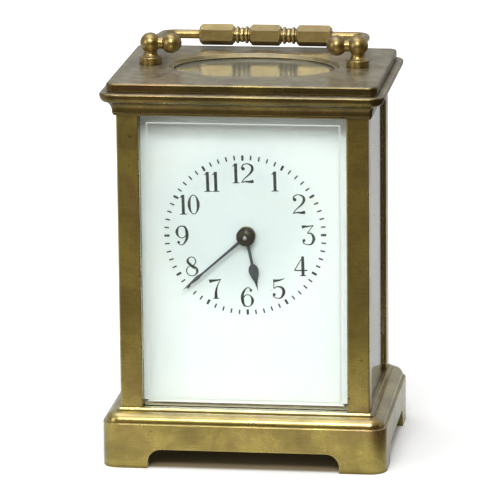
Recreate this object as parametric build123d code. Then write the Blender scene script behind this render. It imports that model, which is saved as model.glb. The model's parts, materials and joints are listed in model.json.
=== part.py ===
from build123d import *
import os
from math import atan2, cos, degrees, hypot, pi, radians, sin, sqrt

# A brass carriage clock: a glazed case on a footed plinth, a folding carrying handle, a hinged
# rear door, and an eight-day movement with a platform lever escapement.
# Millimetres. +X is the right of the dial, +Y the rear door, +Z up. The origin is the middle of
# the footprint, on the surface that the feet stand on.

# ---- case ----
BASE_W, BASE_D = 82.4, 64.8          # plinth
BASE_CORNER = 4.9
PLINTH_TOP = 13.1                    # top of the plinth's upright face
SEAT = 16.75                         # floor on which the pillars and the movement stand
FLOOR_UNDER = 12.5                   # underside of that floor, inside the hollow plinth
PLINTH_WALL = 3.6
ARCH_H, ARCH_R = 5.7, 3.9            # gap between the feet
FOOT = 13.4                          # length of a foot along each side

CASE_W, CASE_D = 72.2, 54.6          # over the pillars
PILLAR = 6.4
PILLAR_TOP = 102.8
GLASS = 2.0                          # thickness of every pane
FRONT_INSET, SIDE_INSET = 2.0, 0.9   # from a pillar's outer face to the front and side panes
TONGUE = 1.1                         # how far a pane enters its grooves
EDGE_TONGUE = 0.8                    # the same at floor and cornice
FIT = 0.05                           # running clearance, on the radius
BEVEL_DEPTH, BEVEL_W = 0.7, 3.2      # of the front pane's ground edge
CASE_SCREW_R, MOVEMENT_SCREW_R = 1.1, 1.0
DOWEL_R, DOWEL_L = 1.5, 2.8          # on top of each pillar

LIP_W, LIP_D, LIP_CORNER = 81.3, 63.7, 4.2
TOP = 112.5
OVAL_X, OVAL_Y = 24.9, 18.3          # half axes of the window in the top
TOP_GLASS_UPPER = 111.2

# ---- handle ----
POST_X = 30.15
POST_STUD_R, POST_STUD_L = 1.2, 6.0
BALL_R, BALL_Z = 3.0, 118.7
SCREW_BALL_X = 24.05
EYE_X, EYE_T, EYE_R = 27.1, 1.2, 1.75
PIVOT_R = 0.9
HANDLE_REACH = 27.1                  # pivot line to grip line
HANDLE_DROP = 5.0                    # degrees below level when folded back
ARM_X, ROD_R, BEND_R = 29.85, 1.35, 4.0
HEX_SIDE = 3.15
BARREL_L, MID_BARREL_L, RINGS_L = 10.4, 9.4, 4.5

# ---- door ----
DOOR_T, DOOR_Y = 3.0, 25.7           # thickness, and the middle plane
DOOR_HALF_W = 29.25
DOOR_Z0, DOOR_Z1 = 17.15, 102.4
DOOR_RAIL = 4.6
HINGE_X = DOOR_HALF_W - DOOR_T / 2
HINGE_PIN_R = 0.8
DOOR_IN, DOOR_OUT = DOOR_Y - DOOR_T / 2, DOOR_Y + DOOR_T / 2
DOOR_REBATE = 1.2
KNOB_X, KNOB_Z, KNOB_R = -DOOR_HALF_W + 2.3, 60.0, 1.9

# ---- movement: plates, stations of the arbors as (x, z), and wheel planes as (y0, y1) ----
FRONT_PLATE = (-14.5, -12.5)
BACK_PLATE = (9.5, 11.5)
FRAME_MIDDLE_Y = (FRONT_PLATE[1] + BACK_PLATE[0]) / 2
PLATE_HALF_W, PLATE_TOP = 28.0, 92.0
FRAME_PILLARS = [(x, z) for x in (-24, 24) for z in (24, 86)]
FRAME_PILLAR_R = 2.6
ARBOR_R, JOURNAL_R = 0.7, 0.4
CENTRE_R = 0.9

TRAIN_M, SLOW_M, THIRD_M, MOTION_M = 0.4, 0.5, 0.36, 0.38
GREAT_T, INTER_PINION_T = 72, 12
INTER_T, CENTRE_PINION_T = 60, 10
CENTRE_T, THIRD_PINION_T = 64, 8
THIRD_T, CONTRATE_PINION_T = 60, 8
CONTRATE_T, ESCAPE_PINION_T = 70, 7
CANNON_T, MINUTE_T, MINUTE_PINION_T, HOUR_T = 10, 30, 8, 32
SETTING_T = 12

CENTRE = (0.0, 66.65)
BARREL = (-4.0, 38.3)
CONTRATE = (0.0, 81.5)
MOTION_ANGLE = 25.0                  # direction of the minute wheel from the centre

GREAT_Y, DRUM_Y, DRUM_R, DRUM_WALL = (-11.8, -10.4), (-10.4, 4.0), 15.0, 1.2
INTER_Y, INTER_PINION_Y = (5.5, 7.0), (-12.1, -10.0)
CENTRE_Y, CENTRE_PINION_Y = (-8.5, -7.3), (4.9, 7.6)
THIRD_Y, THIRD_PINION_Y = (4.0, 5.2), (-9.3, -6.8)
CONTRATE_PINION_Y = (3.2, 6.0)
MINUTE_Y, CANNON_Y = (-15.9, -15.0), (-16.1, -14.8)
MINUTE_PINION_Y, HOUR_Y = (-17.4, -15.9), (-17.3, -16.5)
CONTRATE_DISC_Y = (-6.5, -5.5)
CONTRATE_R0, CONTRATE_R1 = 8.2, 9.2

# ---- dial and hands ----
DIAL_Y = (-18.9, -17.7)
DIAL_HALF_W, DIAL_Z0, DIAL_Z1 = 31.3, 17.2, 102.3
DIAL_HOLE_R = 2.6
DIAL_FEET = [(x, z) for x in (-21, 21) for z in (31, 89)]
MINUTE_PIPE_R, HOUR_PIPE_R = 1.25, 1.9
HOUR_HAND_Y, MINUTE_HAND_Y = (-20.1, -19.65), (-21.1, -20.7)
HOUR_HAND_L, MINUTE_HAND_L = 16.2, 24.6
HOUR_ANGLE, MINUTE_ANGLE = 168.5, 228.8   # clockwise from twelve
HUB_R = 2.7

# ---- platform escapement: stations as (x, y) ----
PLATFORM = (PLATE_TOP, PLATE_TOP + 1.6)
ESCAPE, LEVER, BALANCE = (0.0, -2.4), (3.6, 0.6), (7.4, 3.7)
ESCAPE_TEETH, ESCAPE_R, ESCAPE_ROOT = 15, 3.3, 2.45
ESCAPE_Z = (94.6, 95.0)
LEVER_Z = (94.5, 95.1)
LEVER_COCK_Z = (96.0, 96.9)
LEVER_COCK_FOOT = (-5.5, 2.5)
BALANCE_Z, BALANCE_R = (97.6, 98.5), 7.0
HAIRSPRING_Z = (99.0, 99.3)
BALANCE_COCK_Z = (99.8, 100.7)
BALANCE_COCK_FOOT = (14.2, -5.6)
STAFF_R, FINE_PIVOT_R = 0.45, 0.2

RATCHET_TEETH, RATCHET_R, RATCHET_ROOT = 24, 6.0, 5.1
RATCHET_Y = (11.8, 13.0)
CLICK_AT = 60.0                      # direction of the click's beak from the winding arbor
CLICK_PIVOT = (8.49, 15.0)           # its pivot, as a radius and a direction
SQUARE = 2.1
SQUARE_END = 17.0
BARREL_ARBOR_R, BARREL_FRONT_R, BARREL_BACK_R = 1.6, 1.2, 1.5
CAP_Y = (2.7, 3.9)
CLICK_SCREW_R, FRAME_SCREW_R = 0.8, 1.1
MINUTE_POST_R, DIAL_FOOT_R = 0.7, 0.6
PLATFORM_HALF_X, PLATFORM_SCREW_X, PLATFORM_SCREW_R = 17.0, 15.0, 0.7
POTENCE_Z = 88.0
ESCAPE_PINION_Z = (89.3, 91.3)
PALLET_SPREAD = 32.0
COCK_SCREW_R = 0.6
JEWEL_R, JEWEL_T = 0.6, 0.35
REGULATOR_BOSS_R = 1.1
ROLLER_Z = 95.4


# ---------------------------------------------------------------- shared shapes

def block(x, y, z):
    """A box from three (low, high) pairs."""
    size = [high - low for low, high in (x, y, z)]
    middle = [(high + low) / 2 for low, high in (x, y, z)]
    return Pos(*middle) * Box(*size)


def rod(radius, start, end):
    """A round bar between two points."""
    axis = Vector(*end) - Vector(*start)
    bar = Cylinder(radius, axis.length, align=(Align.CENTER, Align.CENTER, Align.MIN))
    return Plane(origin=start, z_dir=axis) * bar


def rod_y(radius, at, y):
    """A round bar along Y at an (x, z) station."""
    return rod(radius, (at[0], y[0], at[1]), (at[0], y[1], at[1]))


def rod_z(radius, at, z):
    """A round bar along Z at an (x, y) station."""
    return rod(radius, (at[0], at[1], z[0]), (at[0], at[1], z[1]))


def outline(start, *steps):
    """A closed face. A step is a point for a straight edge, or a middle and an end for an arc."""
    edges, here = [], start
    for step in steps:
        if isinstance(step[0], tuple):
            edges += ThreePointArc(here, *step).edges()
            here = step[1]
        else:
            edges += Line(here, step).edges()
            here = step
    if (Vector(*here) - Vector(*start)).length > 1e-6:
        edges += Line(here, start).edges()
    return make_face(edges)


def polygon(points):
    return make_face(Polyline(*points, close=True).edges())


def upright(face, y):
    """A face drawn in (x, z), as a solid between two planes across Y."""
    return Pos(0, y[1], 0) * (Plane.XZ * extrude(face, y[1] - y[0]))


def level(face, z):
    """A face drawn in (x, y), as a solid between two heights."""
    return Pos(0, 0, z[0]) * extrude(face, z[1] - z[0])


def turned_z(face, at):
    """A face drawn in (radius, z), turned about a vertical line."""
    return Pos(at[0], at[1], 0) * revolve(Plane.XZ * face, Axis.Z)


def strap(start, end, half_width):
    """A flat bar with round ends, as a face."""
    length = hypot(end[0] - start[0], end[1] - start[1])
    turn = degrees(atan2(end[1] - start[1], end[0] - start[0]))
    bar = Pos(length / 2, 0) * Rectangle(length, 2 * half_width)
    ends = Circle(half_width) + Pos(length, 0) * Circle(half_width)
    return Pos(*start) * Rot(0, 0, turn) * (bar + ends)


def toward(at, direction, distance):
    """A point at a direction in degrees and a distance from another."""
    return (at[0] + distance * cos(radians(direction)), at[1] + distance * sin(radians(direction)))


def crossing(a, ra, b, rb, side):
    """The station at two known distances from two others; side picks left or right of a to b."""
    gap = hypot(b[0] - a[0], b[1] - a[1])
    along = (ra ** 2 - rb ** 2 + gap ** 2) / (2 * gap)
    off = side * sqrt(ra ** 2 - along ** 2)
    ux, uz = (b[0] - a[0]) / gap, (b[1] - a[1]) / gap
    return (a[0] + along * ux - off * uz, a[1] + along * uz + off * ux)


# ---------------------------------------------------------------- gears

def gear_points(teeth, module, phase, width=0.36):
    """A straight-flanked clock gear about (0, 0); phase is one tooth's direction in radians."""
    pitch = 2 * pi / teeth
    tip, root = module * (teeth / 2 + 0.75), module * (teeth / 2 - 1.05)
    half = width * pitch / 2
    tooth = [(root, -1.35 * half), (tip, -0.5 * half), (tip, 0.5 * half), (root, 1.35 * half)]
    return [
        (r * cos(phase + k * pitch + a), r * sin(phase + k * pitch + a))
        for k in range(teeth)
        for r, a in tooth
    ]


def gear(at, teeth, module, phase, y):
    """A gear across Y at an (x, z) station."""
    return upright(Pos(*at) * polygon(gear_points(teeth, module, phase)), y)


def meshed(at, phase, teeth, other, other_teeth):
    """The phase that lets a gear at other run with the gear at at."""
    line = atan2(other[1] - at[1], other[0] - at[0])
    share = ((line - phase) * teeth / (2 * pi)) % 1
    return line + pi + (2 * share + 1) * pi / other_teeth


def spoked(body, at, hub_r, rim_r, spokes, y, bar=1.0):
    """Cut the windows between a wheel's hub, spokes and rim."""
    windows = Circle(rim_r) - Circle(hub_r)
    for k in range(spokes):
        windows -= Rot(0, 0, 360 * k / spokes) * Pos(rim_r / 2, 0) * Rectangle(rim_r + 1, bar)
    return body - upright(Pos(*at) * windows, (y[0] - 1, y[1] + 1))


def spiral(inner, outer, turns, thickness):
    """A flat coiled strip, as a face made of half turns."""
    step = (outer - inner) / (2 * turns)
    edges = []
    for skin in (0, thickness):
        for k in range(2 * turns):
            side = 1 if k % 2 == 0 else -1
            r0, r1 = inner + k * step + skin, inner + (k + 1) * step + skin
            middle = ((r0 - r1) / 2 * side, side * (r0 + r1) / 2)
            edges += ThreePointArc((r0 * side, 0), middle, (-r1 * side, 0)).edges()
    for r in (inner, outer):
        edges += Line((r, 0), (r + thickness, 0)).edges()
    return make_face(edges)


INTER = crossing(BARREL, SLOW_M * (GREAT_T + INTER_PINION_T) / 2,
                 CENTRE, TRAIN_M * (INTER_T + CENTRE_PINION_T) / 2, -1)
THIRD = crossing(CENTRE, TRAIN_M * (CENTRE_T + THIRD_PINION_T) / 2,
                 CONTRATE, THIRD_M * (THIRD_T + CONTRATE_PINION_T) / 2, 1)
MINUTE = toward(CENTRE, MOTION_ANGLE, MOTION_M * (CANNON_T + MINUTE_T) / 2)
SETTING = toward(MINUTE, MOTION_ANGLE, MOTION_M * (MINUTE_T + SETTING_T) / 2)


# ---------------------------------------------------------------- case

def moulded(width, depth, corner, profile, z):
    """A block with one moulding round its four sides. The profile's x runs outwards from the
    lines through the corners' centres."""
    half_x, half_y = width / 2 - corner, depth / 2 - corner
    body = block((-half_x, half_x), (-half_y, half_y), z)
    for turn, reach, half in ((0, half_x, half_y), (90, half_y, half_x),
                              (180, half_x, half_y), (270, half_y, half_x)):
        side = Pos(0, half, 0) * (Plane.XZ * extrude(profile, 2 * half))
        end = Pos(0, half, 0) * revolve(Plane.XZ * profile, Axis.Z, 90)
        body += Rot(0, 0, turn) * Pos(reach, 0, 0) * (side + end)
    return body


def arch(half):
    """The opening between two feet: upright sides and rounded upper corners."""
    bend = ARCH_R * (1 - cos(pi / 4))
    return outline(
        (-half, -1), (-half, ARCH_H - ARCH_R),
        ((-half + bend, ARCH_H - bend), (-half + ARCH_R, ARCH_H)),
        (half - ARCH_R, ARCH_H),
        ((half - bend, ARCH_H - bend), (half, ARCH_H - ARCH_R)),
        (half, -1),
    )


PILLAR_X, PILLAR_Y = (CASE_W - PILLAR) / 2, (CASE_D - PILLAR) / 2
INNER_X, INNER_Y = CASE_W / 2 - PILLAR, CASE_D / 2 - PILLAR
PANE_X = (CASE_W / 2 - SIDE_INSET - GLASS, CASE_W / 2 - SIDE_INSET)
PANE_Y = (CASE_D / 2 - FRONT_INSET - GLASS, CASE_D / 2 - FRONT_INSET)


def pane_grooves(z):
    """The slots for the front and side panes over a range of heights."""
    front = block((-INNER_X - TONGUE - FIT, INNER_X + TONGUE + FIT),
                  (-PANE_Y[1] - FIT, -PANE_Y[0] + FIT), z)
    sides = [
        block((side * PANE_X[0] - FIT, side * PANE_X[1] + FIT)
              if side > 0 else (-PANE_X[1] - FIT, -PANE_X[0] + FIT),
              (-INNER_Y - TONGUE - FIT, INNER_Y + TONGUE + FIT), z)
        for side in (-1, 1)
    ]
    return front + sides[0] + sides[1]


def base():
    r = BASE_CORNER
    profile = outline(
        (0, 0), (r, 0), (r, PLINTH_TOP - 0.2), ((r - 0.07, PLINTH_TOP - 0.05), (r - 0.25, PLINTH_TOP)),
        (r - 0.75, PLINTH_TOP + 0.05), ((r - 1.6, PLINTH_TOP + 2.0), (r - 3.9, PLINTH_TOP + 2.85)),
        (r - 3.9, PLINTH_TOP + 3.25), (0.4, PLINTH_TOP + 3.25), (0.2, SEAT), (0, SEAT),
    )
    body = moulded(BASE_W, BASE_D, r, profile, (0, SEAT))
    hollow = RectangleRounded(BASE_W - 2 * PLINTH_WALL, BASE_D - 2 * PLINTH_WALL, r - PLINTH_WALL)
    body -= level(hollow, (-1, FLOOR_UNDER))
    body -= upright(arch(BASE_W / 2 - FOOT), (-BASE_D, BASE_D))
    body -= Rot(0, 0, 90) * upright(arch(BASE_D / 2 - FOOT), (-BASE_W, BASE_W))
    body -= pane_grooves((SEAT - EDGE_TONGUE, SEAT + 1))
    for x in (-PILLAR_X, PILLAR_X):
        for y in (-PILLAR_Y, PILLAR_Y):
            body -= rod_z(CASE_SCREW_R + FIT, (x, y), (FLOOR_UNDER - 1, SEAT + 1))
    for x, _ in FRAME_PILLARS[::2]:
        body -= rod_z(MOVEMENT_SCREW_R + FIT, (x, FRAME_MIDDLE_Y), (FLOOR_UNDER - 1, SEAT + 1))
    body -= rod_z(HINGE_PIN_R + FIT, (HINGE_X, DOOR_Y), (SEAT - 2.2, SEAT + 1))
    return body


def pillar(x_side, y_side):
    x, y = x_side * PILLAR_X, y_side * PILLAR_Y
    post = Pos(x, y, (SEAT + PILLAR_TOP) / 2) * Box(PILLAR, PILLAR, PILLAR_TOP - SEAT)
    post = chamfer(post.edges().filter_by(Axis.Z), 0.3)
    post -= pane_grooves((SEAT - 1, PILLAR_TOP + 1))
    post += rod_z(DOWEL_R, (x, y), (PILLAR_TOP - 1, PILLAR_TOP + DOWEL_L))
    post -= rod_z(CASE_SCREW_R, (x, y), (SEAT - 1, SEAT + 8))
    return post


def screws_from_below(stations, radius, head_r, length):
    """Cheese-headed slotted screws through the floor of the plinth."""
    group = []
    for x, y in stations:
        body = rod_z(radius, (x, y), (FLOOR_UNDER, FLOOR_UNDER + length))
        body += rod_z(head_r, (x, y), (FLOOR_UNDER - 1.4, FLOOR_UNDER))
        body -= Pos(x, y, FLOOR_UNDER - 1.4) * Box(2 * head_r + 1, 0.6, 1.2)
        group.append(body)
    return Compound(group)


def case_screws():
    stations = [(x, y) for x in (-PILLAR_X, PILLAR_X) for y in (-PILLAR_Y, PILLAR_Y)]
    return screws_from_below(stations, CASE_SCREW_R, 2.3, 11.5)


def oval_stack(steps):
    """A tapering or straight oval bore: each step is (z low, z high, inset low, inset high)."""
    bore = None
    for z0, z1, inset0, inset1 in steps:
        low = Pos(0, 0, z0) * Ellipse(OVAL_X - inset0, OVAL_Y - inset0)
        high = Pos(0, 0, z1) * Ellipse(OVAL_X - inset1, OVAL_Y - inset1)
        part = loft([low, high])
        bore = part if bore is None else bore + part
    return bore


def cornice():
    z, r = PILLAR_TOP, LIP_CORNER
    profile = outline(
        (0, z), ((0.35, z + 0.2), (0.5, z + 0.8)), (0.75, z + 0.8),
        ((1.05, z + 2.75), (2.6, z + 4.1)), (3.1, z + 4.2),
        ((3.85, z + 4.9), (r, z + 6.1)),
        ((r - 0.15, z + 6.7), (r - 0.6, z + 6.9)), (1.9, z + 6.9), (1.9, z + 7.35),
        (2.2, z + 7.35), (2.2, TOP - 0.7), ((2.0, TOP - 0.2), (1.5, TOP)), (0, TOP),
    )
    body = moulded(LIP_W, LIP_D, r, profile, (z, TOP))
    body -= block((-INNER_X + 0.8, INNER_X - 0.8), (-INNER_Y + 0.6, INNER_Y - 0.6),
                  (z - 1, TOP_GLASS_UPPER - GLASS))
    body -= oval_stack([
        (TOP_GLASS_UPPER - GLASS - 0.5, TOP_GLASS_UPPER, 0.3, 0.3),
        (TOP_GLASS_UPPER - 0.5, TOP - 0.9, 1.5, 1.5),
        (TOP - 0.9, TOP, 0.9, 0.0),
    ])
    body -= pane_grooves((z - 1, z + EDGE_TONGUE))
    for x in (-PILLAR_X, PILLAR_X):
        for y in (-PILLAR_Y, PILLAR_Y):
            body -= rod_z(DOWEL_R, (x, y), (z - 1, z + DOWEL_L))
    for x in (-POST_X, POST_X):
        body -= rod_z(POST_STUD_R, (x, 0), (TOP - POST_STUD_L, TOP + 1))
    body -= rod_z(HINGE_PIN_R + FIT, (HINGE_X, DOOR_Y), (z - 1, z + 2.2))
    return body


def top_glass():
    return level(Ellipse(OVAL_X - 0.35, OVAL_Y - 0.35), (TOP_GLASS_UPPER - GLASS, TOP_GLASS_UPPER))


def front_glass():
    """The front pane, its outer edges ground to a broad bevel."""
    half = INNER_X + TONGUE
    z = (SEAT - EDGE_TONGUE + FIT, PILLAR_TOP + EDGE_TONGUE - FIT)
    back_face = -PANE_Y[1] + BEVEL_DEPTH
    pane = block((-half, half), (back_face, -PANE_Y[0]), z)
    middle, height = (z[0] + z[1]) / 2, z[1] - z[0]
    wide = Plane.XZ.offset(-back_face) * Pos(0, middle) * Rectangle(2 * half, height)
    narrow = Rectangle(2 * (half - BEVEL_W), height - 2 * BEVEL_W)
    narrow = Plane.XZ.offset(PANE_Y[1]) * Pos(0, middle) * narrow
    return pane + loft([wide, narrow])


def side_glasses():
    half = INNER_Y + TONGUE
    z = (SEAT - EDGE_TONGUE + FIT, PILLAR_TOP + EDGE_TONGUE - FIT)
    return Compound([
        block((-PANE_X[1], -PANE_X[0]), (-half, half), z),
        block(PANE_X, (-half, half), z),
    ])


# ---------------------------------------------------------------- rear door

def door_frame():
    plate = block((-DOOR_HALF_W, HINGE_X), (DOOR_IN, DOOR_OUT), (DOOR_Z0, DOOR_Z1))
    plate += rod_z(DOOR_T / 2, (HINGE_X, DOOR_Y), (DOOR_Z0, DOOR_Z1))
    sight = DOOR_HALF_W - DOOR_RAIL
    plate -= block((-sight, sight), (DOOR_IN - 1, DOOR_OUT + 1),
                   (DOOR_Z0 + DOOR_RAIL, DOOR_Z1 - DOOR_RAIL))
    wide = sight + DOOR_REBATE
    plate -= block((-wide, wide), (DOOR_IN - 1, DOOR_IN + GLASS),
                   (DOOR_Z0 + DOOR_RAIL - DOOR_REBATE, DOOR_Z1 - DOOR_RAIL + DOOR_REBATE))
    for z in ((DOOR_Z0 - 1, DOOR_Z0 + 3), (DOOR_Z1 - 3, DOOR_Z1 + 1)):
        plate -= rod_z(HINGE_PIN_R, (HINGE_X, DOOR_Y), z)
    return plate - rod((KNOB_R - 1.0), (KNOB_X, DOOR_IN - 1, KNOB_Z), (KNOB_X, DOOR_OUT + 1, KNOB_Z))


def door_glass():
    wide = DOOR_HALF_W - DOOR_RAIL + DOOR_REBATE - FIT
    z = (DOOR_Z0 + DOOR_RAIL - DOOR_REBATE + FIT, DOOR_Z1 - DOOR_RAIL + DOOR_REBATE - FIT)
    return block((-wide, wide), (DOOR_IN, DOOR_IN + GLASS - FIT), z)


def door_pins():
    reach = 1.8
    return Compound([
        rod_z(HINGE_PIN_R, (HINGE_X, DOOR_Y), (SEAT - reach, DOOR_Z0 + 3)),
        rod_z(HINGE_PIN_R, (HINGE_X, DOOR_Y), (DOOR_Z1 - 3, PILLAR_TOP + reach)),
    ])


def door_knob():
    """A turned pull, riveted through the door's free edge."""
    shank = outline(
        (0, 0), (KNOB_R - 1.0, 0), (KNOB_R - 1.0, DOOR_T), (1.5, DOOR_T), (1.5, DOOR_T + 0.5),
        (0.9, DOOR_T + 0.9), (0.9, DOOR_T + 1.6),
        ((KNOB_R, DOOR_T + 2.6), (1.2, DOOR_T + 3.8)), (0, DOOR_T + 4.0),
    )
    turned = revolve(Plane.XZ * shank, Axis.Z)
    return Pos(KNOB_X, DOOR_IN, KNOB_Z) * Rot(-90, 0, 0) * turned


# ---------------------------------------------------------------- carrying handle

def handle_posts():
    """Turned posts: a stud in the cornice, a foot disc, a waist and a ball with an inner flat."""
    profile = outline(
        (0, TOP - POST_STUD_L), (POST_STUD_R, TOP - POST_STUD_L), (POST_STUD_R, TOP),
        (3.3, TOP), (3.3, TOP + 1.95), ((3.2, TOP + 2.15), (3.0, TOP + 2.25)),
        ((2.25, TOP + 2.7), (1.95, TOP + 3.5)), (1.95, BALL_Z), (0, BALL_Z),
    )
    group = []
    for side in (-1, 1):
        post = turned_z(profile, (side * POST_X, 0)) + Pos(side * POST_X, 0, BALL_Z) * Sphere(BALL_R)
        inner = EYE_X + EYE_T / 2 + FIT
        post -= Pos(side * (inner - 5), 0, BALL_Z) * Box(10, 8, 8)
        post -= rod(PIVOT_R, (side * (inner - 1), 0, BALL_Z), (side * (POST_X + 0.9), 0, BALL_Z))
        group.append(post)
    return Compound(group)


def handle_pivot_screws():
    """Ball-headed screws that carry the handle's eyes."""
    group = []
    for side in (-1, 1):
        head = Pos(side * SCREW_BALL_X, 0, BALL_Z) * Sphere(BALL_R)
        face = EYE_X - EYE_T / 2 - FIT
        head -= Pos(side * (face + 5), 0, BALL_Z) * Box(10, 8, 8)
        shank = rod(PIVOT_R, (side * (face - 1), 0, BALL_Z), (side * (POST_X + 0.8), 0, BALL_Z))
        slot = Pos(side * (SCREW_BALL_X - BALL_R), 0, BALL_Z) * Box(1.4, 0.7, 7)
        group.append(head + shank - slot)
    return Compound(group)


HANDLE_PLANE = Plane(origin=(0, 0, BALL_Z), x_dir=(1, 0, 0),
                     z_dir=(0, sin(radians(HANDLE_DROP)), cos(radians(HANDLE_DROP))))


def handle_bail():
    """One bent rod with a flattened eye at each end."""
    start, jog_in, jog_out = 4.2, 5.4, 8.6
    right = [(ARM_X, HANDLE_REACH), (ARM_X, jog_out), (EYE_X, jog_in), (EYE_X, start)]
    left = [(-x, y) for x, y in reversed(right)]
    line = FilletPolyline(*left, *right, radius=[2.0, 2.5, BEND_R, BEND_R, 2.5, 2.0])
    ring = Plane(origin=(-EYE_X, start, 0), z_dir=(0, 1, 0)) * Circle(ROD_R)
    bail = sweep(ring, path=line)
    for side in (-1, 1):
        x = side * EYE_X
        bail += rod(EYE_R, (x - EYE_T / 2, 0, 0), (x + EYE_T / 2, 0, 0))
        bail += Pos(x, (start + 0.6) / 2, 0) * Box(EYE_T, start + 0.6, 2 * ROD_R - 0.3)
        bail -= rod(PIVOT_R + FIT, (x - 2, 0, 0), (x + 2, 0, 0))
    return HANDLE_PLANE * bail


def handle_grip():
    """Three six-sided barrels with two clusters of turned rings between them."""
    half = BARREL_L + RINGS_L + MID_BARREL_L / 2
    body = None
    for middle, length in ((-half + BARREL_L / 2, BARREL_L), (0, MID_BARREL_L),
                           (half - BARREL_L / 2, BARREL_L)):
        prism = Rot(0, 90, 0) * extrude(RegularPolygon(HEX_SIDE, 6), length / 2, both=True)
        turned = Cylinder(HEX_SIDE, length)
        turned = chamfer(turned.edges().filter_by(GeomType.CIRCLE), 0.8)
        barrel = prism & (Rot(0, 90, 0) * turned)
        barrel = Pos(middle, 0, 0) * barrel
        body = barrel if body is None else body + barrel
    waist, ring, bead = 1.9, 2.6, 2.25
    cluster = outline(
        (0, -RINGS_L / 2 - 0.2), (waist, -RINGS_L / 2 - 0.2), (waist, -1.75),
        ((ring, -1.35), (waist, -0.95)), (waist, -0.75),
        ((bead, 0), (waist, 0.75)), (waist, 0.95),
        ((ring, 1.35), (waist, 1.75)), (waist, RINGS_L / 2 + 0.2), (0, RINGS_L / 2 + 0.2),
    )
    turned = Rot(0, 90, 0) * revolve(Plane.XZ * cluster, Axis.Z)
    for side in (-1, 1):
        body += Pos(side * (MID_BARREL_L + RINGS_L) / 2, 0, 0) * turned
    body -= rod(ROD_R, (-half - 1, 0, 0), (half + 1, 0, 0))
    return HANDLE_PLANE * Pos(0, HANDLE_REACH, 0) * body


# ---------------------------------------------------------------- movement frame

def train_stations():
    """Every arbor that runs in both plates, with the radius of its front and back journals."""
    return [
        (INTER, JOURNAL_R, JOURNAL_R), (THIRD, JOURNAL_R, JOURNAL_R),
        (CONTRATE, JOURNAL_R, JOURNAL_R), (CENTRE, CENTRE_R, JOURNAL_R),
        (BARREL, BARREL_FRONT_R, BARREL_BACK_R), (SETTING, ARBOR_R, ARBOR_R),
    ]


def plate(y, journal):
    """One movement plate, bored for the train and for the ends of the frame pillars."""
    body = block((-PLATE_HALF_W, PLATE_HALF_W), y, (SEAT, PLATE_TOP))
    for station in train_stations():
        body -= rod_y(station[journal] + FIT, station[0], (y[0] - 1, y[1] + 1))
    for x in (-PLATFORM_SCREW_X, PLATFORM_SCREW_X):
        body -= rod_z(PLATFORM_SCREW_R, (x, (y[0] + y[1]) / 2), (PLATE_TOP - 4, PLATE_TOP + 1))
    return body


def front_plate():
    body = plate(FRONT_PLATE, 1)
    for foot in DIAL_FEET:
        body -= rod_y(DIAL_FOOT_R, foot, (FRONT_PLATE[0] - 1, FRONT_PLATE[1] + 1))
    body += rod_y(MINUTE_POST_R, MINUTE, (MINUTE_PINION_Y[0] - 0.1, FRONT_PLATE[0]))
    return body


def back_plate():
    body = plate(BACK_PLATE, 2)
    for at in FRAME_PILLARS:
        body -= rod_y(FRAME_SCREW_R, at, (BACK_PLATE[0] - 1, BACK_PLATE[1] + 1))
    for at in (click_pivot(), spring_foot()):
        body -= rod_y(CLICK_SCREW_R, at, (BACK_PLATE[0] - 1, BACK_PLATE[1] + 1))
    return body


def frame_pillars():
    """Turned pillars riveted to the front plate; the lower pair take the screws from the plinth."""
    group = []
    y0, y1 = FRONT_PLATE[1], BACK_PLATE[0]
    middle = (y0 + y1) / 2
    for x, z in FRAME_PILLARS:
        body = rod_y(FRAME_PILLAR_R, (x, z), (y0, y1))
        for side in (-1, 1):
            neck = middle + side * 6
            groove = rod_y(FRAME_PILLAR_R + 1, (x, z), (neck - 0.5, neck + 0.5))
            body -= groove - rod_y(FRAME_PILLAR_R - 0.4, (x, z), (neck - 1, neck + 1))
        body -= rod_y(FRAME_SCREW_R, (x, z), (y1 - 5, y1 + 1))
        if z < CENTRE[1]:
            body -= rod_z(MOVEMENT_SCREW_R, (x, middle), (z - 4, z + 0.6))
        group.append(body)
    return Compound(group)


def screw_y(radius, head_r, head_l, at, seat, length):
    """A slotted cheese-head screw driven towards the dial from a seat plane."""
    body = rod_y(radius, at, (seat - length, seat))
    body += rod_y(head_r, at, (seat, seat + head_l))
    return body - Pos(at[0], seat + head_l, at[1]) * Box(2 * head_r + 1, 0.7, 0.45)


def plate_screws():
    seat = BACK_PLATE[1]
    return Compound([screw_y(FRAME_SCREW_R, 2.2, 1.3, at, seat, 6.0) for at in FRAME_PILLARS])


def movement_screws():
    stations = [(x, FRAME_MIDDLE_Y) for x, z in FRAME_PILLARS if z < CENTRE[1]]
    return screws_from_below(stations, MOVEMENT_SCREW_R, 2.0, 12.0)


# ---------------------------------------------------------------- going train

def arbor(at, pinion, module, phase, pinion_y, radius=ARBOR_R):
    """A steel arbor with journals in both plates and a pinion cut on it."""
    shoulder = 0.2
    body = rod_y(radius, at, (FRONT_PLATE[1] + shoulder, BACK_PLATE[0] - shoulder))
    body += rod_y(JOURNAL_R, at, (FRONT_PLATE[0] + 0.2, BACK_PLATE[1] - 0.2))
    return body + gear(at, pinion, module, phase, pinion_y)


def train_wheel(at, teeth, module, phase, y, collet_y, spokes=4, radius=ARBOR_R):
    """A crossed-out brass wheel on its collet."""
    rim = module * (teeth / 2 - 1.05) - 1.3
    body = spoked(gear(at, teeth, module, phase, y), at, 2.6, rim, spokes, y)
    body += rod_y(1.5, at, collet_y)
    return body - rod_y(radius, at, (FRONT_PLATE[0], BACK_PLATE[1]))


def phase_at(at, other):
    """The direction of the line between two stations, which carries one tooth."""
    return atan2(other[1] - at[1], other[0] - at[0])


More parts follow.
